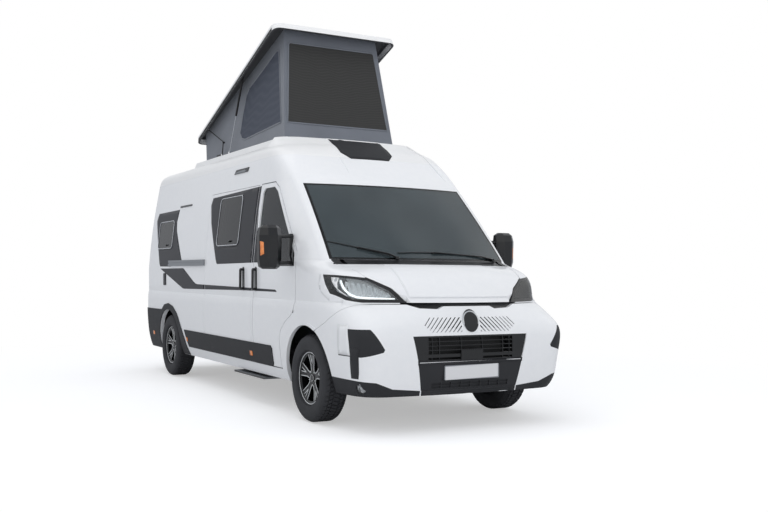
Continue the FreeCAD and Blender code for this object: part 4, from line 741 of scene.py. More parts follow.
# Bumper strips: the charcoal bridge between the grille and the plate's insert, the lower lip,
# and the upright that joins each corner pad to the sill trim, all clipped on from outside.
BRIDGE_HEIGHTS = (564, 554, 545, 532)
BRIDGE_HALF = 497
LIP_HEIGHTS = (331, 312, 299, 286)
LIP_HALF = 449
FRONT_PARTS = ["front_bumper", "grille", "bumper_trim"]
STRIPS = (("grille_bridge", BRIDGE_HEIGHTS, BRIDGE_HALF), ("lower_lip", LIP_HEIGHTS, LIP_HALF))
for word, heights, half in STRIPS:
    for number, (high, low) in enumerate(zip(heights, heights[1:])):
        strip = [(-half, high), (half, high), (half, low), (-half, low)]
        laid_film(f"{word}_{number}", strip, FRONT_PARTS, ON_FRONT, charcoal_moulding, "root",
                  mm(3))
SIDE_PARTS = ["front_bumper", "bumper_trim"]
UPRIGHT = [(738, 668), (842, 668), (826, 600), (812, 480), (800, 432), (716, 432), (722, 560)]
for side, word in SIDES:
    laid_film("corner_upright_" + word, UPRIGHT, SIDE_PARTS, ON_SIDE[side], charcoal_moulding, "root",
              mm(2.5))

# Painted returns: the bumper's paint runs over the rear edge of each corner pad, and the wing's
# over the foot of each headlamp's black rim.
PAD_RETURN = [(704, 842), (706, 813), (725, 701), (728, 608), (560, 608), (560, 842)]
LAMP_RETURN = [(236, 1232), (294, 1150), (368, 1076), (473, 1037), (551, 1030), (551, 1012), (473, 1012),
               (360, 1020), (250, 1080), (200, 1140), (195, 1232)]
WING_PARTS = ["front_bumper", "front_wings", "headlamps", "lamp_lenses"]
for side, word in SIDES:
    for place, outline, carriers in (("pad", PAD_RETURN, SIDE_PARTS), ("lamp", LAMP_RETURN, WING_PARTS)):
        laid_film(f"{place}_return_{word}", outline, carriers, ON_SIDE[side], white_paint, "root",
                  mm(2))

# Radiator: an aluminium core sprayed matt black, standing behind the grille. Its upright fins,
# drawn wider apart than they are, give the grille a dark ground and hide the engine bay.
CORE_X, CORE_DEEP, CORE_HALF, CORE_LOW, CORE_HIGH = 852, 12, 370, 360, 760
core_black = toned_finish("black radiator fins", ("#090909", "#1d1e1f"),
                          ("TexWave", {"Scale": 0.31 / mm(6), "bands_direction": "Y"}),
                          {"Roughness": 0.6, "IOR": 1.5})
form = bmesh.new()
bmesh.ops.create_cube(form, size=1.0)
for vert in form.verts:
    height = (CORE_LOW + CORE_HIGH) / 2 + (CORE_HIGH - CORE_LOW) * vert.co.z
    vert.co = Vector((along(CORE_X + CORE_DEEP * vert.co.x), mm(2 * CORE_HALF * vert.co.y), mm(height)))
new_piece("radiator_core", form, core_black, "root", smooth=False)

# Side markers: moulded acrylic reflectors clipped into the side trims. The prisms behind their
# smooth face, drawn larger than they are, break the amber into small bright cells.
amber = toned_finish("amber prismatic reflector", ("#ee7a34", "#f6a566"),
                     ("TexVoronoi", {"Scale": 1 / mm(6)}, "Distance"), {"Roughness": 0.15, "IOR": 1.59})
MARKER_Z = 474
MARKER_HALF, MARKER_RISE, MARKER_ROUND = 34, 22, 6.0
MARKER_PLACES = (-4722, -3360, -1313)
for side, word in SIDES:
    for number, x in enumerate(MARKER_PLACES):
        edges = (x - MARKER_HALF, x + MARKER_HALF, MARKER_Z - MARKER_RISE, MARKER_Z + MARKER_RISE)
        outline = window_outline(edges, MARKER_ROUND, steps=3)
        laid_film(f"side_marker_{number}_{word}", outline, ["side_trims"], ON_SIDE[side], amber, "root",
                  mm(4))

# Sockets and handles: a hinged mains inlet flap near the rear, and dark moulded plates under the
# grips of the cab doors and the sliding door, all clipped into the panels.
FLAP_EDGES = (-4280, -4172, 1080, 1226)
FLAP_ROUND = 16.0
laid_film("mains_inlet_flap", window_outline(FLAP_EDGES, FLAP_ROUND, steps=4), ["side_wall_right"],
          ON_SIDE[RIGHT], decor_vinyl, "root", mm(6))
PLATE_HALF = 34
PLATE_LOW, PLATE_HIGH = 1066, 1296
HANDLES = [
    ("cab_right", -1180, "cab_door_right", RIGHT, "cab_door_right"),
    ("slide_right", -1512, "sliding_door", RIGHT, "root"),
    ("cab_left", -1180, "cab_door_left", LEFT, "cab_door_left"),
]
for word, x, carrier, side, body in HANDLES:
    outline = window_outline((x - PLATE_HALF, x + PLATE_HALF, PLATE_LOW, PLATE_HIGH), PLATE_HALF - 1)
    laid_film("handle_plate_" + word, outline, [carrier], ON_SIDE[side], satin_black, body,
              mm(2))
UPPER_RAIL = mm(1900)
RAIL_END = (-2690, -2600)


def is_dark_rail(centre, normal):
    """The short upper rail, which is black, and the front end of the lower one."""
    return centre.z > UPPER_RAIL or along(RAIL_END[0]) < centre.x < along(RAIL_END[1])


dress_where("slide_rail", satin_black, is_dark_rail)

# Number plate: white reflective film on a pressed aluminium plate, screwed on at the front and
# left blank. The glass beads in the film, drawn coarser than they are, give its white a grain.
FIELD_HALF = mm(255)
FIELD_LOW, FIELD_HIGH = mm(412), mm(518)
plate_white = toned_finish("white retroreflective plate film", ("#d9dadc", "#e6e7e9"),
                           ("TexVoronoi", {"Scale": 1 / mm(4), "feature": "DISTANCE_TO_EDGE"}, "Distance"),
                           {"Roughness": 0.3, "IOR": 1.5})


def is_field(centre, normal):
    """The plate's field inside its pressed edge."""
    return normal.x > 0.5 and abs(centre.y) < FIELD_HALF and FIELD_LOW < centre.z < FIELD_HIGH


dress_where("number_plate", plate_white, is_field)

# Badge and fog lamps: the badge is a bare black oval clipped into the bumper, in a ring plated with
# chrome that mirrors the room as a bright line. The fog lamps are glass discs before faceted
# reflectors, set in the corner trims.
chrome = toned_finish("bright chrome plate on ABS", ("#c8cbce", "#e9ebed"),
                      ("TexNoise", {"Scale": 1 / mm(12), "Detail": 2.0}),
                      {"Roughness": 0.08, "Metallic": 1.0})
dress(["fog_lamps_and_badge"], satin_black)
# Fog lamp glass: painted reflections, the facets behind it drawn as small patches from near black to
# near white.
fog_glass_painted_reflections = toned_finish("fog lamp glass with painted facet reflections", ("#1d1f21", "#e3e6e8"),
                         ("TexVoronoi", {"Scale": 1 / mm(13)}, "Color"),
                         {"Roughness": 0.08, "Metallic": 0.6})
FOG_INNER = mm(500)


def is_fog_glass(centre, normal):
    """The faces of the fog lamps that look forwards."""
    return abs(centre.y) > FOG_INNER and normal.x > 0.2


dress_where("fog_lamps_and_badge", fog_glass_painted_reflections, is_fog_glass)
badge_tree = whole_tree("fog_lamps_and_badge")
BADGE_X, BADGE_Z = 925, 870
BADGE_HALF, BADGE_RISE = 73, 83
RING_RADIUS = mm(6)
RING_STEPS = 40
form = bmesh.new()
ring = []
for step in range(RING_STEPS):
    turn = 2 * math.pi * step / RING_STEPS
    height = BADGE_Z + BADGE_RISE * math.sin(turn)
    spot = Vector((along(BADGE_X), mm(BADGE_HALF * math.cos(turn)), mm(height)))
    ring.append(badge_tree.find_nearest(spot)[0] + Vector((mm(1), 0, 0)))
tube(form, ring, RING_RADIUS, sides=10, closed=True, flatten=0.7, up=(1, 0, 0))
new_piece("badge_ring", form, chrome, "root")

# Headlamps: a polycarbonate lens, clear but for its shine, bonded over a black housing. Behind it
# stand aluminised reflector fins, and a lit milk-white blade runs along the foot and up the end.
clear_lens = pane_finish("clear polycarbonate lens", "#f4f7f8", ("#c9ced1", "#dfe3e6"), 0.05)
dress(["headlamps"], satin_black)
light_blade = toned_finish("milk-white light blade", ("#f4f5f6", "#fdfdfd"),
                           ("TexNoise", {"Scale": 1 / mm(30), "Detail": 1.0}),
                           {"Roughness": 0.3, "IOR": 1.5, "Emission Strength": 1.2})
lens_tree = whole_tree("lamp_lenses")
LENS_X = 600
LAMP_DEPTH = mm(120)
RIM_DEPTH = mm(22)
WALL_DEPTH = mm(6)


def behind_glass(centre, normal):
    """Whether a face of the lamp's housing is well behind the lens, seen from the front."""
    found, _, _, distance = lens_tree.ray_cast(centre, Vector((1, 0, 0)), LAMP_DEPTH)
    faces_in = normal.y * centre.y < 0 and abs(normal.y) > 0.3
    return found is not None and (distance > RIM_DEPTH or (faces_in and distance > WALL_DEPTH))


dress(["lamp_lenses"], clear_lens)
# Reflectors: vapour-coated aluminium, a soft silver between the fins in pale wavy tones, which glows
# a little in its own colour though it is no lamp: painted light.
reflector_silver_painted_glow = toned_finish("aluminised lamp reflector with painted glow", ("#d6d9dc", "#fbfbfc"),
                                ("TexWave", {"Scale": 1 / mm(40), "Distortion": 1.0}),
                                {"Roughness": 0.3, "Metallic": 0.25, "Emission Strength": 0.12})
dress_where("headlamps", reflector_silver_painted_glow, behind_glass)
LAMP_TOP_LINE = [(-565, 1040), (-625, 1100), (-765, 1176), (-1000, 1204)]
LAMP_LOW_LINE = [(-565, 1058), (-880, 1060), (-985, 1128)]
REAR_OPTIC = [(352, 1208), (432, 1204), (438, 1160), (447, 1119), (500, 1085), (545, 1052), (483, 1086),
              (414, 1136), (372, 1175)]
FIN_COUNT = 17
FIN_HALF = mm(6.5)
FIN_START, FIN_SPAN = -624, -318
FIN_FOOT, FIN_HEAD = 12, 10
FIN_NEAR, FIN_DEEP = mm(20), mm(44)
FIN_LEAN = 6
FIN_SLANT = mm(7)
LEAST_FIN = 14
BLADE_DEPTH = mm(15)
BLADE_THICK = mm(8.5)
BLADE_LINE = [(-588, 1045), (-700, 1047), (-800, 1049), (-860, 1055), (-900, 1074), (-926, 1106),
              (-938, 1146), (-940, 1188)]


def on_line(line, y):
    """The height of a line of points at a place across the van."""
    for (ya, za), (yb, zb) in zip(line, line[1:]):
        if yb <= y <= ya:
            return za + (zb - za) * (y - ya) / (yb - ya)
    return line[-1][1]


def behind_lens(side, y, z, depth):
    """A place behind the lens, seen from the front, at a depth under its outer face."""
    place = Vector((FAR_OUT, mm(-y) * side, mm(z)))
    found, normal, _, _ = lens_tree.ray_cast(place, Vector((-1, 0, 0)))
    if found is None:
        found, normal, _, _ = lens_tree.find_nearest(Vector((along(LENS_X), place.y, place.z)))
    return found + (-normal if normal.x > 0 else normal) * depth


def block(form, corners):
    """Adds a six-sided block to a bmesh from four corners at one end and four at the other."""
    a, b, c, d, e, f, g, h = [form.verts.new(corner) for corner in corners]
    for four in ((a, b, f, e), (c, d, h, g), (a, c, g, e), (b, d, h, f), (a, b, d, c), (e, f, h, g)):
        form.faces.new(four)


for side, word in SIDES:
    form = bmesh.new()
    for number in range(FIN_COUNT):
        y = FIN_START + FIN_SPAN * number / (FIN_COUNT - 1)
        low, high = on_line(LAMP_LOW_LINE, y) + FIN_FOOT, on_line(LAMP_TOP_LINE, y) - FIN_HEAD
        if high - low < LEAST_FIN:
            continue
        turned = 1 if number % 2 else -1
        half = Vector((0, FIN_HALF, 0))
        lift = Vector((turned * FIN_SLANT, 0, 0))
        corners = []
        for z, shift in ((low, -turned * FIN_LEAN), (high, turned * FIN_LEAN)):
            near = behind_lens(side, y + shift, z, FIN_NEAR)
            deep = behind_lens(side, y + shift, z, FIN_DEEP)
            corners += [near - half + lift, near + half - lift, deep - half, deep + half]
        block(form, corners)
    new_piece("reflector_fins_" + word, form, reflector_silver_painted_glow, "root", smooth=False)
    form = bmesh.new()
    tube(form, [behind_lens(side, y, z, BLADE_DEPTH) for y, z in BLADE_LINE], BLADE_THICK, sides=10)
    new_piece("light_blade_" + word, form, light_blade, "root")
    laid_film("lamp_rear_optic_" + word, REAR_OPTIC, ["headlamps", "lamp_lenses"], ON_SIDE[side],
              reflector_silver_painted_glow, "root", mm(1))

# Tail lamps: ribbed acrylic, red all through, with an amber band for the indicator. The level ribs
# break its mirror shine into short bars.
ruby = toned_finish("ribbed red acrylic lens", ("#a3141b", "#c8262c"),
                    ("TexWave", {"Scale": 1 / mm(28), "wave_type": "BANDS", "bands_direction": "Z"}),
                    {"Roughness": 0.12, "IOR": 1.49}, relief=(0.2, mm(1)))
dress(["tail_lamps"], ruby)
AMBER_LOW, AMBER_HIGH = mm(1110), mm(1180)


def in_amber_band(centre, normal):
    """The indicator's part of the tail lamps."""
    return AMBER_LOW < centre.z < AMBER_HIGH


dress_where("tail_lamps", amber, in_amber_band)

# Awning lamp: a black moulded bowl screwed on under the gutter, with a satin aluminium cover.
dress(["awning_lamp"], satin_black)
LAMP_COVER = [(-2080, 2252), (-1760, 2252), (-1740, 2262), (-1790, 2276), (-1960, 2272), (-2060, 2262)]
laid_film("awning_lamp_lens", LAMP_COVER, ["awning_lamp"], ON_SIDE[RIGHT], anodised, "root",
          mm(1.5))

# Wheels: cast alloy lacquered gloss black and then turned on a lathe, which leaves thin bright
# edges along each double spoke, with five bolts in the hub round a plain cap.
gloss_wheel = toned_finish("gloss black cast alloy", ("#090a0b", "#101113"),
                           ("TexNoise", {"Scale": 1 / mm(25), "Detail": 2.0}),
                           {"Roughness": 0.18, "IOR": 1.5})
turned_alloy = toned_finish("diamond-turned aluminium edge", ("#cfd2d4", "#eceeef"),
                            ("TexNoise", {"Scale": 1 / mm(4), "Detail": 1.0}),
                            {"Roughness": 0.35, "Metallic": 0.35})
# Tyres: moulded rubber, a dull charcoal with a fine rough skin beside the bright wheel.
rubber = toned_finish("carbon black tyre rubber", ("#26272a", "#36373b"),
                      ("TexNoise", {"Scale": 1 / mm(70), "Detail": 4.0}), {"Roughness": 0.78, "IOR": 1.52},
                      relief=(0.25, mm(0.5)), grain=("TexNoise", {"Scale": 1 / mm(3), "Detail": 2.0}))
RIM_LIP = 220.0
TYRE_HALF = 112.5
TYRE_TOP = 364.0
TREAD_DEEP = 9.0
SHOULDER, SHOULDER_RUN, SHOULDER_DROP = 45, 25.0, 12
BLOCK_SHARE = 0.36
FACE_OFFSET = 62.0
RIM_WIDTH_HALF = 82.5
SPOKES = 5
SPOKE_STEPS = 4
EDGE_RADIUS = mm(4.2)
CAP_RADIUS = 27
LIP_STEPS = 72
CAP_STEPS = 24
BOLT_HIGH = mm(7)
SPOKE_DISH = [(30, FACE_OFFSET - 8), (120, FACE_OFFSET - 2), (200, FACE_OFFSET + 12)]
SPOKE_EDGES = [[(24, 56), (27, 100), (56, 194)], [(-24, 56), (-27, 100), (-56, 194)],
               [(17, 194), (0, 122), (-17, 194)]]
BOLT_CIRCLE = 59.0
TYRE_STEPS = 96
# radius and distance from the wheel's middle, from the bore over the sidewall to the tread
TYRE_PROFILE = [(206, 70), (224, 73), (233, 102), (252, 108), (282, 112), (300, 112.5), (322, 109),
                (338, 103), (346, 96), (352, 84), (355, 66), (355, 30)]
# each row of blocks: its inner and outer edge, how many there are, and their skew
TREAD_ROWS = [(-92, -70, 48, 0.35), (-62, -34, 62, 0.25), (-26, 26, 62, -0.3), (34, 62, 62, 0.25),
              (70, 92, 48, 0.35)]


def dish(radius):
    """How far the face of the spokes stands out at a radius."""
    for (ra, ya), (rb, yb) in zip(SPOKE_DISH, SPOKE_DISH[1:]):
        if radius <= rb:
            return ya + (yb - ya) * (radius - ra) / (rb - ra)
    return SPOKE_DISH[-1][1]


def tread_top(y):
    """The tyre's outer radius at a distance from its middle, level and then rounding off."""
    beyond = max(abs(y) - (TYRE_HALF - SHOULDER), 0.0)
    return TYRE_TOP - SHOULDER_DROP * (beyond / SHOULDER_RUN) ** 1.4


def wheel_point(centre, side, radius, turn, out):
    """A place on a wheel from its radius, turn and distance outwards from its middle."""
    return Vector((centre.x + mm(radius) * math.sin(turn), centre.y + side * mm(out),
                   centre.z + mm(radius) * math.cos(turn)))


for end in ("front", "rear"):
    for side, word in SIDES:
        name = end + "_" + word
        low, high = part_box("tyre_" + name)
        centre = (low + high) / 2
        body = "wheel_" + name
        dress(["rim_" + name], gloss_wheel)
        form = bmesh.new()
        for number in range(SPOKES):
            start = 2 * math.pi * number / SPOKES
            for line in SPOKE_EDGES:
                points = []
                for (xa, ra), (xb, rb) in zip(line, line[1:]):
                    for step in range(SPOKE_STEPS):
                        share = step / SPOKE_STEPS
                        points.append((xa + (xb - xa) * share, ra + (rb - ra) * share))
                points.append(line[-1])
                run = [wheel_point(centre, side, math.hypot(x, r), start + math.atan2(x, r), dish(r) + 1.0)
                       for x, r in points]
                tube(form, run, EDGE_RADIUS, sides=6, flatten=0.45, up=(0, 1, 0))
            turn = start + math.pi / SPOKES
            foot = wheel_point(centre, side, BOLT_CIRCLE, turn, FACE_OFFSET - 7)
            tube(form, [foot, foot + Vector((0, side * BOLT_HIGH, 0))], [mm(8), mm(7)], sides=6)
        lip = [wheel_point(centre, side, RIM_LIP - 5, 2 * math.pi * step / LIP_STEPS, RIM_WIDTH_HALF + 0.6)
               for step in range(LIP_STEPS)]
        tube(form, lip, EDGE_RADIUS, sides=6, closed=True, flatten=0.6, up=(0, 1, 0))
        cap = [wheel_point(centre, side, CAP_RADIUS, 2 * math.pi * step / CAP_STEPS, FACE_OFFSET + 2.5)
               for step in range(CAP_STEPS)]
        tube(form, cap, mm(1.6), sides=6, closed=True, up=(0, 1, 0))
        new_piece("rim_edges_" + name, form, turned_alloy, body)
        form = bmesh.new()
        line = [(r, -y) for r, y in TYRE_PROFILE] + [(r, y) for r, y in reversed(TYRE_PROFILE)]
        rings = []
        for step in range(TYRE_STEPS):
            turn = 2 * math.pi * step / TYRE_STEPS
            rings.append([form.verts.new(wheel_point(centre, side, r, turn, y)) for r, y in line])
        for first, second in zip(rings, rings[1:] + rings[:1]):
            band(form, first, second)
        for y0, y1, count, skew in TREAD_ROWS:
            pitch = 2 * math.pi / count
            for number in range(count):
                turn = number * pitch + (0.5 * pitch if y0 < 0 < y1 else 0)
                lean = skew * pitch
                top = []
                foot = []
                for y, shift in ((y0, -lean), (y1, lean)):
                    for share in (-BLOCK_SHARE, BLOCK_SHARE):
                        place = turn + shift / 2 + share * pitch
                        top.append(wheel_point(centre, side, tread_top(y), place, y))
                        foot.append(wheel_point(centre, side, tread_top(y) - TREAD_DEEP - 3, place, y * 1.02))
                block(form, top + foot)
        tyre = new_piece("tyre_" + name + "_treaded", form, rubber, body, smooth=False)
        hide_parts("tyre_" + name)

# Tent: a coated polyester cloth, a flat blue-grey, sewn from four walls and held between the
# coaming and the raised roof. Dark mesh windows are let in at the front and the sides and bound
# with a sewn tape. The cloth folds in as the roof comes down.
tent_cloth, tree = blank_material("blue-grey coated polyester")
spot = add_node(tree, "TexCoord")
# the thread is drawn coarser than the real one, so that the weave shows
THREAD = mm(2.5)
warp = add_node(tree, "TexWave", {"Scale": 0.31 / THREAD, "bands_direction": "Z"},
                {"Vector": spot.outputs["Object"]})
weft = add_node(tree, "TexWave", {"Scale": 0.31 / THREAD, "bands_direction": "DIAGONAL"},
                {"Vector": spot.outputs["Object"]})
weave = add_node(tree, "Math", {"operation": "ADD"}, {0: warp.outputs["Fac"], 1: weft.outputs["Fac"]})
cloud = add_node(tree, "TexNoise", {"Scale": 1 / mm(320), "Detail": 4.0}, {"Vector": spot.outputs["Object"]})
shade = add_node(tree, "ValToRGB", {}, {"Fac": cloud.outputs["Fac"]})
for element, tone in zip(shade.color_ramp.elements, ("#696d75", "#787d86")):
    element.color = colour(tone)
bump = add_node(tree, "Bump", {"Strength": 0.18, "Distance": mm(0.4)}, {"Height": weave.outputs[0]})
cloth = add_node(tree, "BsdfPrincipled", {"Roughness": 0.85, "IOR": 1.45, "Sheen Weight": 0.25},
                 {"Base Color": shade.outputs["Color"], "Normal": bump.outputs["Normal"]})
add_node(tree, "OutputMaterial", {}, {"Surface": cloth.outputs[0]})
# Meshes: knitted nets with the dark of the tent behind them, which read as flat darker fields.
# Their holes are drawn coarser than the real ones, so that they show.
MESH_HOLE = mm(6)
mesh_cloth = toned_finish("charcoal insect mesh", ("#333333", "#4b4b4a"),
                          ("TexVoronoi", {"Scale": 1 / MESH_HOLE, "Randomness": 0.1}, "Distance"),
                          {"Roughness": 0.8, "IOR": 1.45, "Specular IOR Level": 0.2})
side_net = toned_finish("blue-grey side window mesh", ("#464a54", "#5c616c"),
                        ("TexVoronoi", {"Scale": 1 / MESH_HOLE, "Randomness": 0.1}, "Distance"),
                        {"Roughness": 0.8, "IOR": 1.45, "Specular IOR Level": 0.2})


def on_roof(run, up, y):
    """A place on the raised roof, in millimetres along it and up from its rear lower edge."""
    point = ROOF_REAR + ROOF_ALONG * mm(run) + ROOF_UP * mm(up)
    return Vector((point.x, mm(y), point.z))


TENT_FOOT = 2567.0
TENT_HALF = 619.0
TENT_HEAD_HALF = 529.0
TENT_REAR = -3882.0
TENT_FRONT = -1471.0
HEAD_UP = 82.0
HEAD_REAR = 151.0
HEAD_FRONT = 2489.0
TENT_SAG = mm(13)
CREASE_DEPTH = mm(2.6)
GATHER_DEPTH = mm(3.0)
GRID = 36
TAPE_STEPS = 8
TAPE_RADIUS = mm(9)


def wall_point(corners, inward, u, v, off=0.0):
    """A place on a tent wall: across and up from 0 to 1, sagging a little and gathered at its foot."""
    low_a, low_b, high_a, high_b = corners
    point = low_a.lerp(low_b, u).lerp(high_a.lerp(high_b, u), v)
    across = math.sin(math.pi * u)
    rise = math.sin(math.pi * v)
    sag = TENT_SAG * across ** 0.8 * rise ** 0.8
    crease = CREASE_DEPTH * math.sin(2 * math.pi * (5 * u + 2.3 * v)) * across * rise
    gather = GATHER_DEPTH * math.exp(-9 * v) * math.sin(2 * math.pi * 9 * u) * across
    return point + inward * (sag + crease + abs(gather) - off)


def wall_sheet(name, corners, inward, window, finish):
    """One wall of the tent, with a window of mesh let in and bound if it has one."""
    form = bmesh.new()
    grid = [[form.verts.new(wall_point(corners, inward, i / GRID, j / GRID)) for i in range(GRID + 1)]
            for j in range(GRID + 1)]
    for j in range(GRID):
        for i in range(GRID):
            form.faces.new((grid[j][i], grid[j][i + 1], grid[j + 1][i + 1], grid[j + 1][i]))
    wall = new_piece("tent_" + name, form, tent_cloth, "root")
    pieces = [wall]
    if window:
        form = bmesh.new()
        verts = [form.verts.new(Vector((u, v, 0))) for u, v in window]
        for three in tessellate_polygon([[Vector((u, v, 0)) for u, v in window]]):
            form.faces.new([verts[number] for number in three])
        for axis in (0, 1):
            way = Vector((0, 0, 0))
            way[axis] = 1
            for step in range(1, GRID):
                cut_form(form, way * (step / GRID), way)
        for vert in form.verts:
            vert.co = wall_point(corners, inward, vert.co.x, vert.co.y, mm(2))
        pane = new_piece("tent_window_" + name, form, finish, "root")
        form = bmesh.new()
        edge = []
        for (ua, va), (ub, vb) in zip(window, window[1:] + window[:1]):
            for step in range(TAPE_STEPS):
                share = step / TAPE_STEPS
                u, v = ua + (ub - ua) * share, va + (vb - va) * share
                edge.append(wall_point(corners, inward, u, v, mm(3)))
        tube(form, edge, TAPE_RADIUS, sides=6, closed=True, flatten=0.35, up=tuple(-inward))
        tape = new_piece("tent_binding_" + name, form, tent_cloth, "root")
        pieces += [pane, tape]
    for piece in pieces:
        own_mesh(piece)
    return wall


foot = [Vector((along(x), mm(y), mm(TENT_FOOT))) for x, y in
        ((TENT_FRONT, -TENT_HALF), (TENT_FRONT, TENT_HALF), (TENT_REAR, TENT_HALF), (TENT_REAR, -TENT_HALF))]
head = [on_roof(HEAD_FRONT, HEAD_UP, -TENT_HEAD_HALF), on_roof(HEAD_FRONT, HEAD_UP, TENT_HEAD_HALF),
        on_roof(HEAD_REAR, HEAD_UP, TENT_HALF), on_roof(HEAD_REAR, HEAD_UP, -TENT_HALF)]
FRONT_WINDOW = [(0.03, 0.155), (0.97, 0.155), (0.955, 0.87), (0.94, 0.885), (0.06, 0.885), (0.045, 0.87)]
SIDE_WINDOW = [(0.035, 0.165), (0.46, 0.17), (0.5, 0.2), (0.53, 0.3), (0.49, 0.55), (0.44, 0.78),
               (0.40, 0.83), (0.08, 0.88), (0.055, 0.86)]
# each wall's name, its two corners, the way into the tent, its window and the window's mesh
WALLS = [
    ("front", 0, 1, Vector((-1, 0, 0)), FRONT_WINDOW, mesh_cloth),
    ("right", 0, 3, Vector((0, 1, 0)), SIDE_WINDOW, side_net),
    ("left", 1, 2, Vector((0, -1, 0)), SIDE_WINDOW, side_net),
    ("rear", 2, 3, Vector((1, 0, 0)), None, None),
]
for name, a, b, inward, window, net in WALLS:
    wall = wall_sheet(name, (foot[a], foot[b], head[a], head[b]), inward, window, net)
    if name == "front":
        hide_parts("tent")

# Roof seal: an extruded rubber strip, a dull black line along each side of the raised shell's
# lower edge, pushed on from outside. It shuts the shell on the coaming when the roof is down.
seal_rubber = toned_finish("black rubber roof seal", ("#0e0f10", "#1b1c1e"),
                           ("TexNoise", {"Scale": 1 / mm(90)}), {"Roughness": 0.6, "IOR": 1.5})
SEAL_HEIGHT = 34
SEAL_REAR, SEAL_FRONT = 40, 2555
seal_line = []
for run, up in ((SEAL_REAR, 2), (SEAL_FRONT, 2), (SEAL_FRONT, SEAL_HEIGHT), (SEAL_REAR, SEAL_HEIGHT)):
    place = on_roof(run, up, 0)
    seal_line.append(((place.x - along(0)) * 1000, place.z * 1000))
for side, word in SIDES:
    laid_film("roof_seal_" + word, seal_line, ["pop_roof"], ON_SIDE[side], seal_rubber, "pop_roof",
              mm(1.5), relief=0.12)

# Tent fittings: a black lifting bracket on each side of the roof coaming, bent from steel tube,
# dip-coated and screwed down.
BRACKET_REAR, BRACKET_FRONT = -3403, -3279
BRACKET_OUT = 652
BRACKET_LOW, BRACKET_HIGH = 2571, 2600
BRACKET_LINE = [(BRACKET_REAR, BRACKET_LOW), (BRACKET_REAR, BRACKET_HIGH), (BRACKET_FRONT, BRACKET_HIGH),
                (BRACKET_FRONT, BRACKET_LOW)]
for side, word in SIDES:
    form = bmesh.new()
    tube(form, [Vector((along(x), side * mm(BRACKET_OUT), mm(z))) for x, z in BRACKET_LINE], mm(7), sides=6)
    name = "lifting_bracket_" + word
    new_piece(name, form, dipped_steel, "root")

# Cab seats: two seats in dark grey woven cloth sewn over foam, facing forward. Each has a base box,
# a cushion, a back and a head restraint. The weave, drawn coarser than it is, takes all shine
# from the cloth.
seat_cloth = toned_finish("dark grey woven seat cloth", ("#4c4f54", "#5d6066"),
                          ("TexVoronoi", {"Scale": 1 / mm(5)}, "Distance"),
                          {"Roughness": 0.9, "IOR": 1.45, "Sheen Weight": 0.3}, relief=(0.3, mm(0.8)))


def padded_piece(name, outline, y, half, roundness):
    """A cushion in seat cloth: an outline seen from the side, given a width, with rounded edges."""
    form = bmesh.new()
    rings = []
    for offset in (-half, half):
        rings.append([form.verts.new((along(x), mm(y + offset), mm(z))) for x, z in outline])
    form.faces.new(rings[0])
    form.faces.new(rings[1][::-1])
    band(form, rings[1], rings[0])
    bmesh.ops.recalc_face_normals(form, faces=form.faces[:])
    bmesh.ops.bevel(form, geom=form.edges[:], offset=mm(roundness), segments=4, profile=0.5, affect="EDGES")
    bmesh.ops.triangulate(form, faces=[face for face in form.faces if len(face.verts) > 4])
    piece = new_piece(name, form, seat_cloth, "root")
    return piece


SEAT_Y = 430
FOAM_FILL = 0.6
SEAT_BASE = [(-1148, 562), (-782, 562), (-782, 796), (-1148, 796)]
SEAT_CUSHION = [(-1198, 802), (-722, 802), (-722, 900), (-760, 928), (-1198, 928)]
SEAT_BACK = [(-1198, 932), (-1084, 932), (-1242, 1518), (-1338, 1518)]
SEAT_HEAD = [(-1348, 1545), (-1252, 1545), (-1256, 1738), (-1344, 1738)]
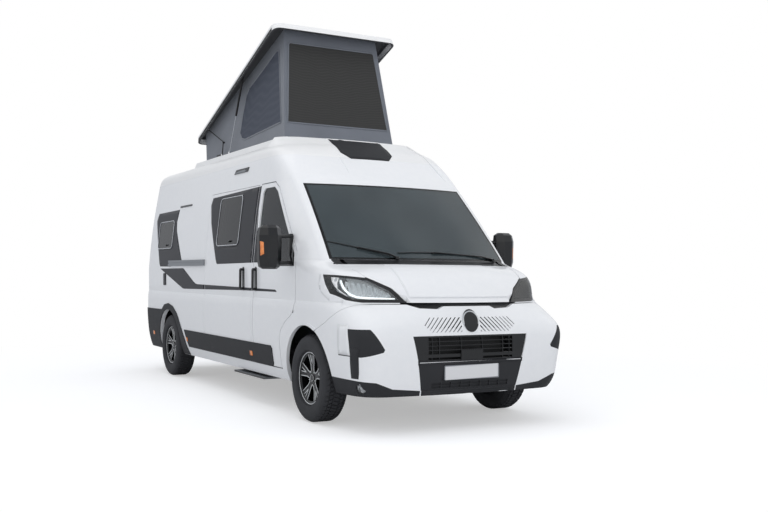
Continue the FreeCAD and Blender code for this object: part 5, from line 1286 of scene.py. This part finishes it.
# each cushion's name, its outline, half its width, the rounding of its edges and its share of foam
CUSHIONS = [
    ("base", SEAT_BASE, 198, 14, 0.8),
    ("cushion", SEAT_CUSHION, 236, 34, FOAM_FILL),
    ("back", SEAT_BACK, 232, 34, FOAM_FILL),
    ("head", SEAT_HEAD, 126, 36, FOAM_FILL),
]
for side, word in SIDES:
    for part, outline, half, roundness, fill in CUSHIONS:
        piece = padded_piece(f"seat_{part}_{word}", outline, side * SEAT_Y, half, roundness)
        if piece.name == "seat_base_right":
            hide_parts("cab_seats")

# Furniture: board pressed with a pale oak grain for the kitchen, the washroom and the bench, which
# gives the dark cabin warm streaks, and a moulded dashboard with a dull leather-like grain in the
# cab. A mattress lies on the rear bed.
oak = toned_finish("pale oak furniture board", ("#a98f72", "#c7b193"),
                   ("TexNoise", {"Scale": 1 / mm(18), "Detail": 6.0}), {"Roughness": 0.5, "IOR": 1.5},
                   stretch=(0.15, 1.0, 1.0))
grained = toned_finish("grained dashboard plastic", ("#3a3d41", "#4c5055"),
                       ("TexNoise", {"Scale": 1 / mm(3)}), {"Roughness": 0.65, "IOR": 1.5},
                       relief=(0.2, mm(0.3)))
dress(["living_furniture"], oak)
dress(["dashboard"], grained)
MATTRESS = [(-4880, 1103), (-3325, 1103), (-3325, 1215), (-4880, 1215)]
padded_piece("mattress", MATTRESS, 0, 868, 30)

# Mirrors and step: a silvered glass glued in the rear of each mirror head, sharp and a little
# blue, an amber indicator at the head's outer edge, and a black end cap on the entry step.
silvered = toned_finish("silvered mirror glass", ("#c9d0d6", "#d3d9de"),
                        ("TexNoise", {"Scale": 1 / mm(60)}), {"Metallic": 1.0, "Roughness": 0.04})
MIRROR_OUT = mm(1160)
MIRROR_LOW, MIRROR_HIGH = mm(1300), mm(1620)


def is_mirror_glass(centre, normal):
    """The flat rear of the mirror head."""
    return normal.x < -0.9 and abs(centre.y) > MIRROR_OUT and MIRROR_LOW < centre.z < MIRROR_HIGH


INDICATOR = [(1324, 1508), (1300, 1500), (1296, 1400), (1320, 1384)]
STEP_OUT = mm(-962)
for side, word in SIDES:
    door, hardware = "cab_door_" + word, "door_hardware_" + word
    laid_film("mirror_indicator_" + word, [(side * y, z) for y, z in INDICATOR], [hardware, door], ON_FRONT,
              amber, door, mm(1.5), relief=0.4)
    dress_where(door, silvered, is_mirror_glass)
    dress_where(hardware, silvered, is_mirror_glass)


def is_step_end(centre, normal):
    """The outer edge of the entry step."""
    return centre.y < STEP_OUT


dress_where("entry_step", satin_black, is_step_end)
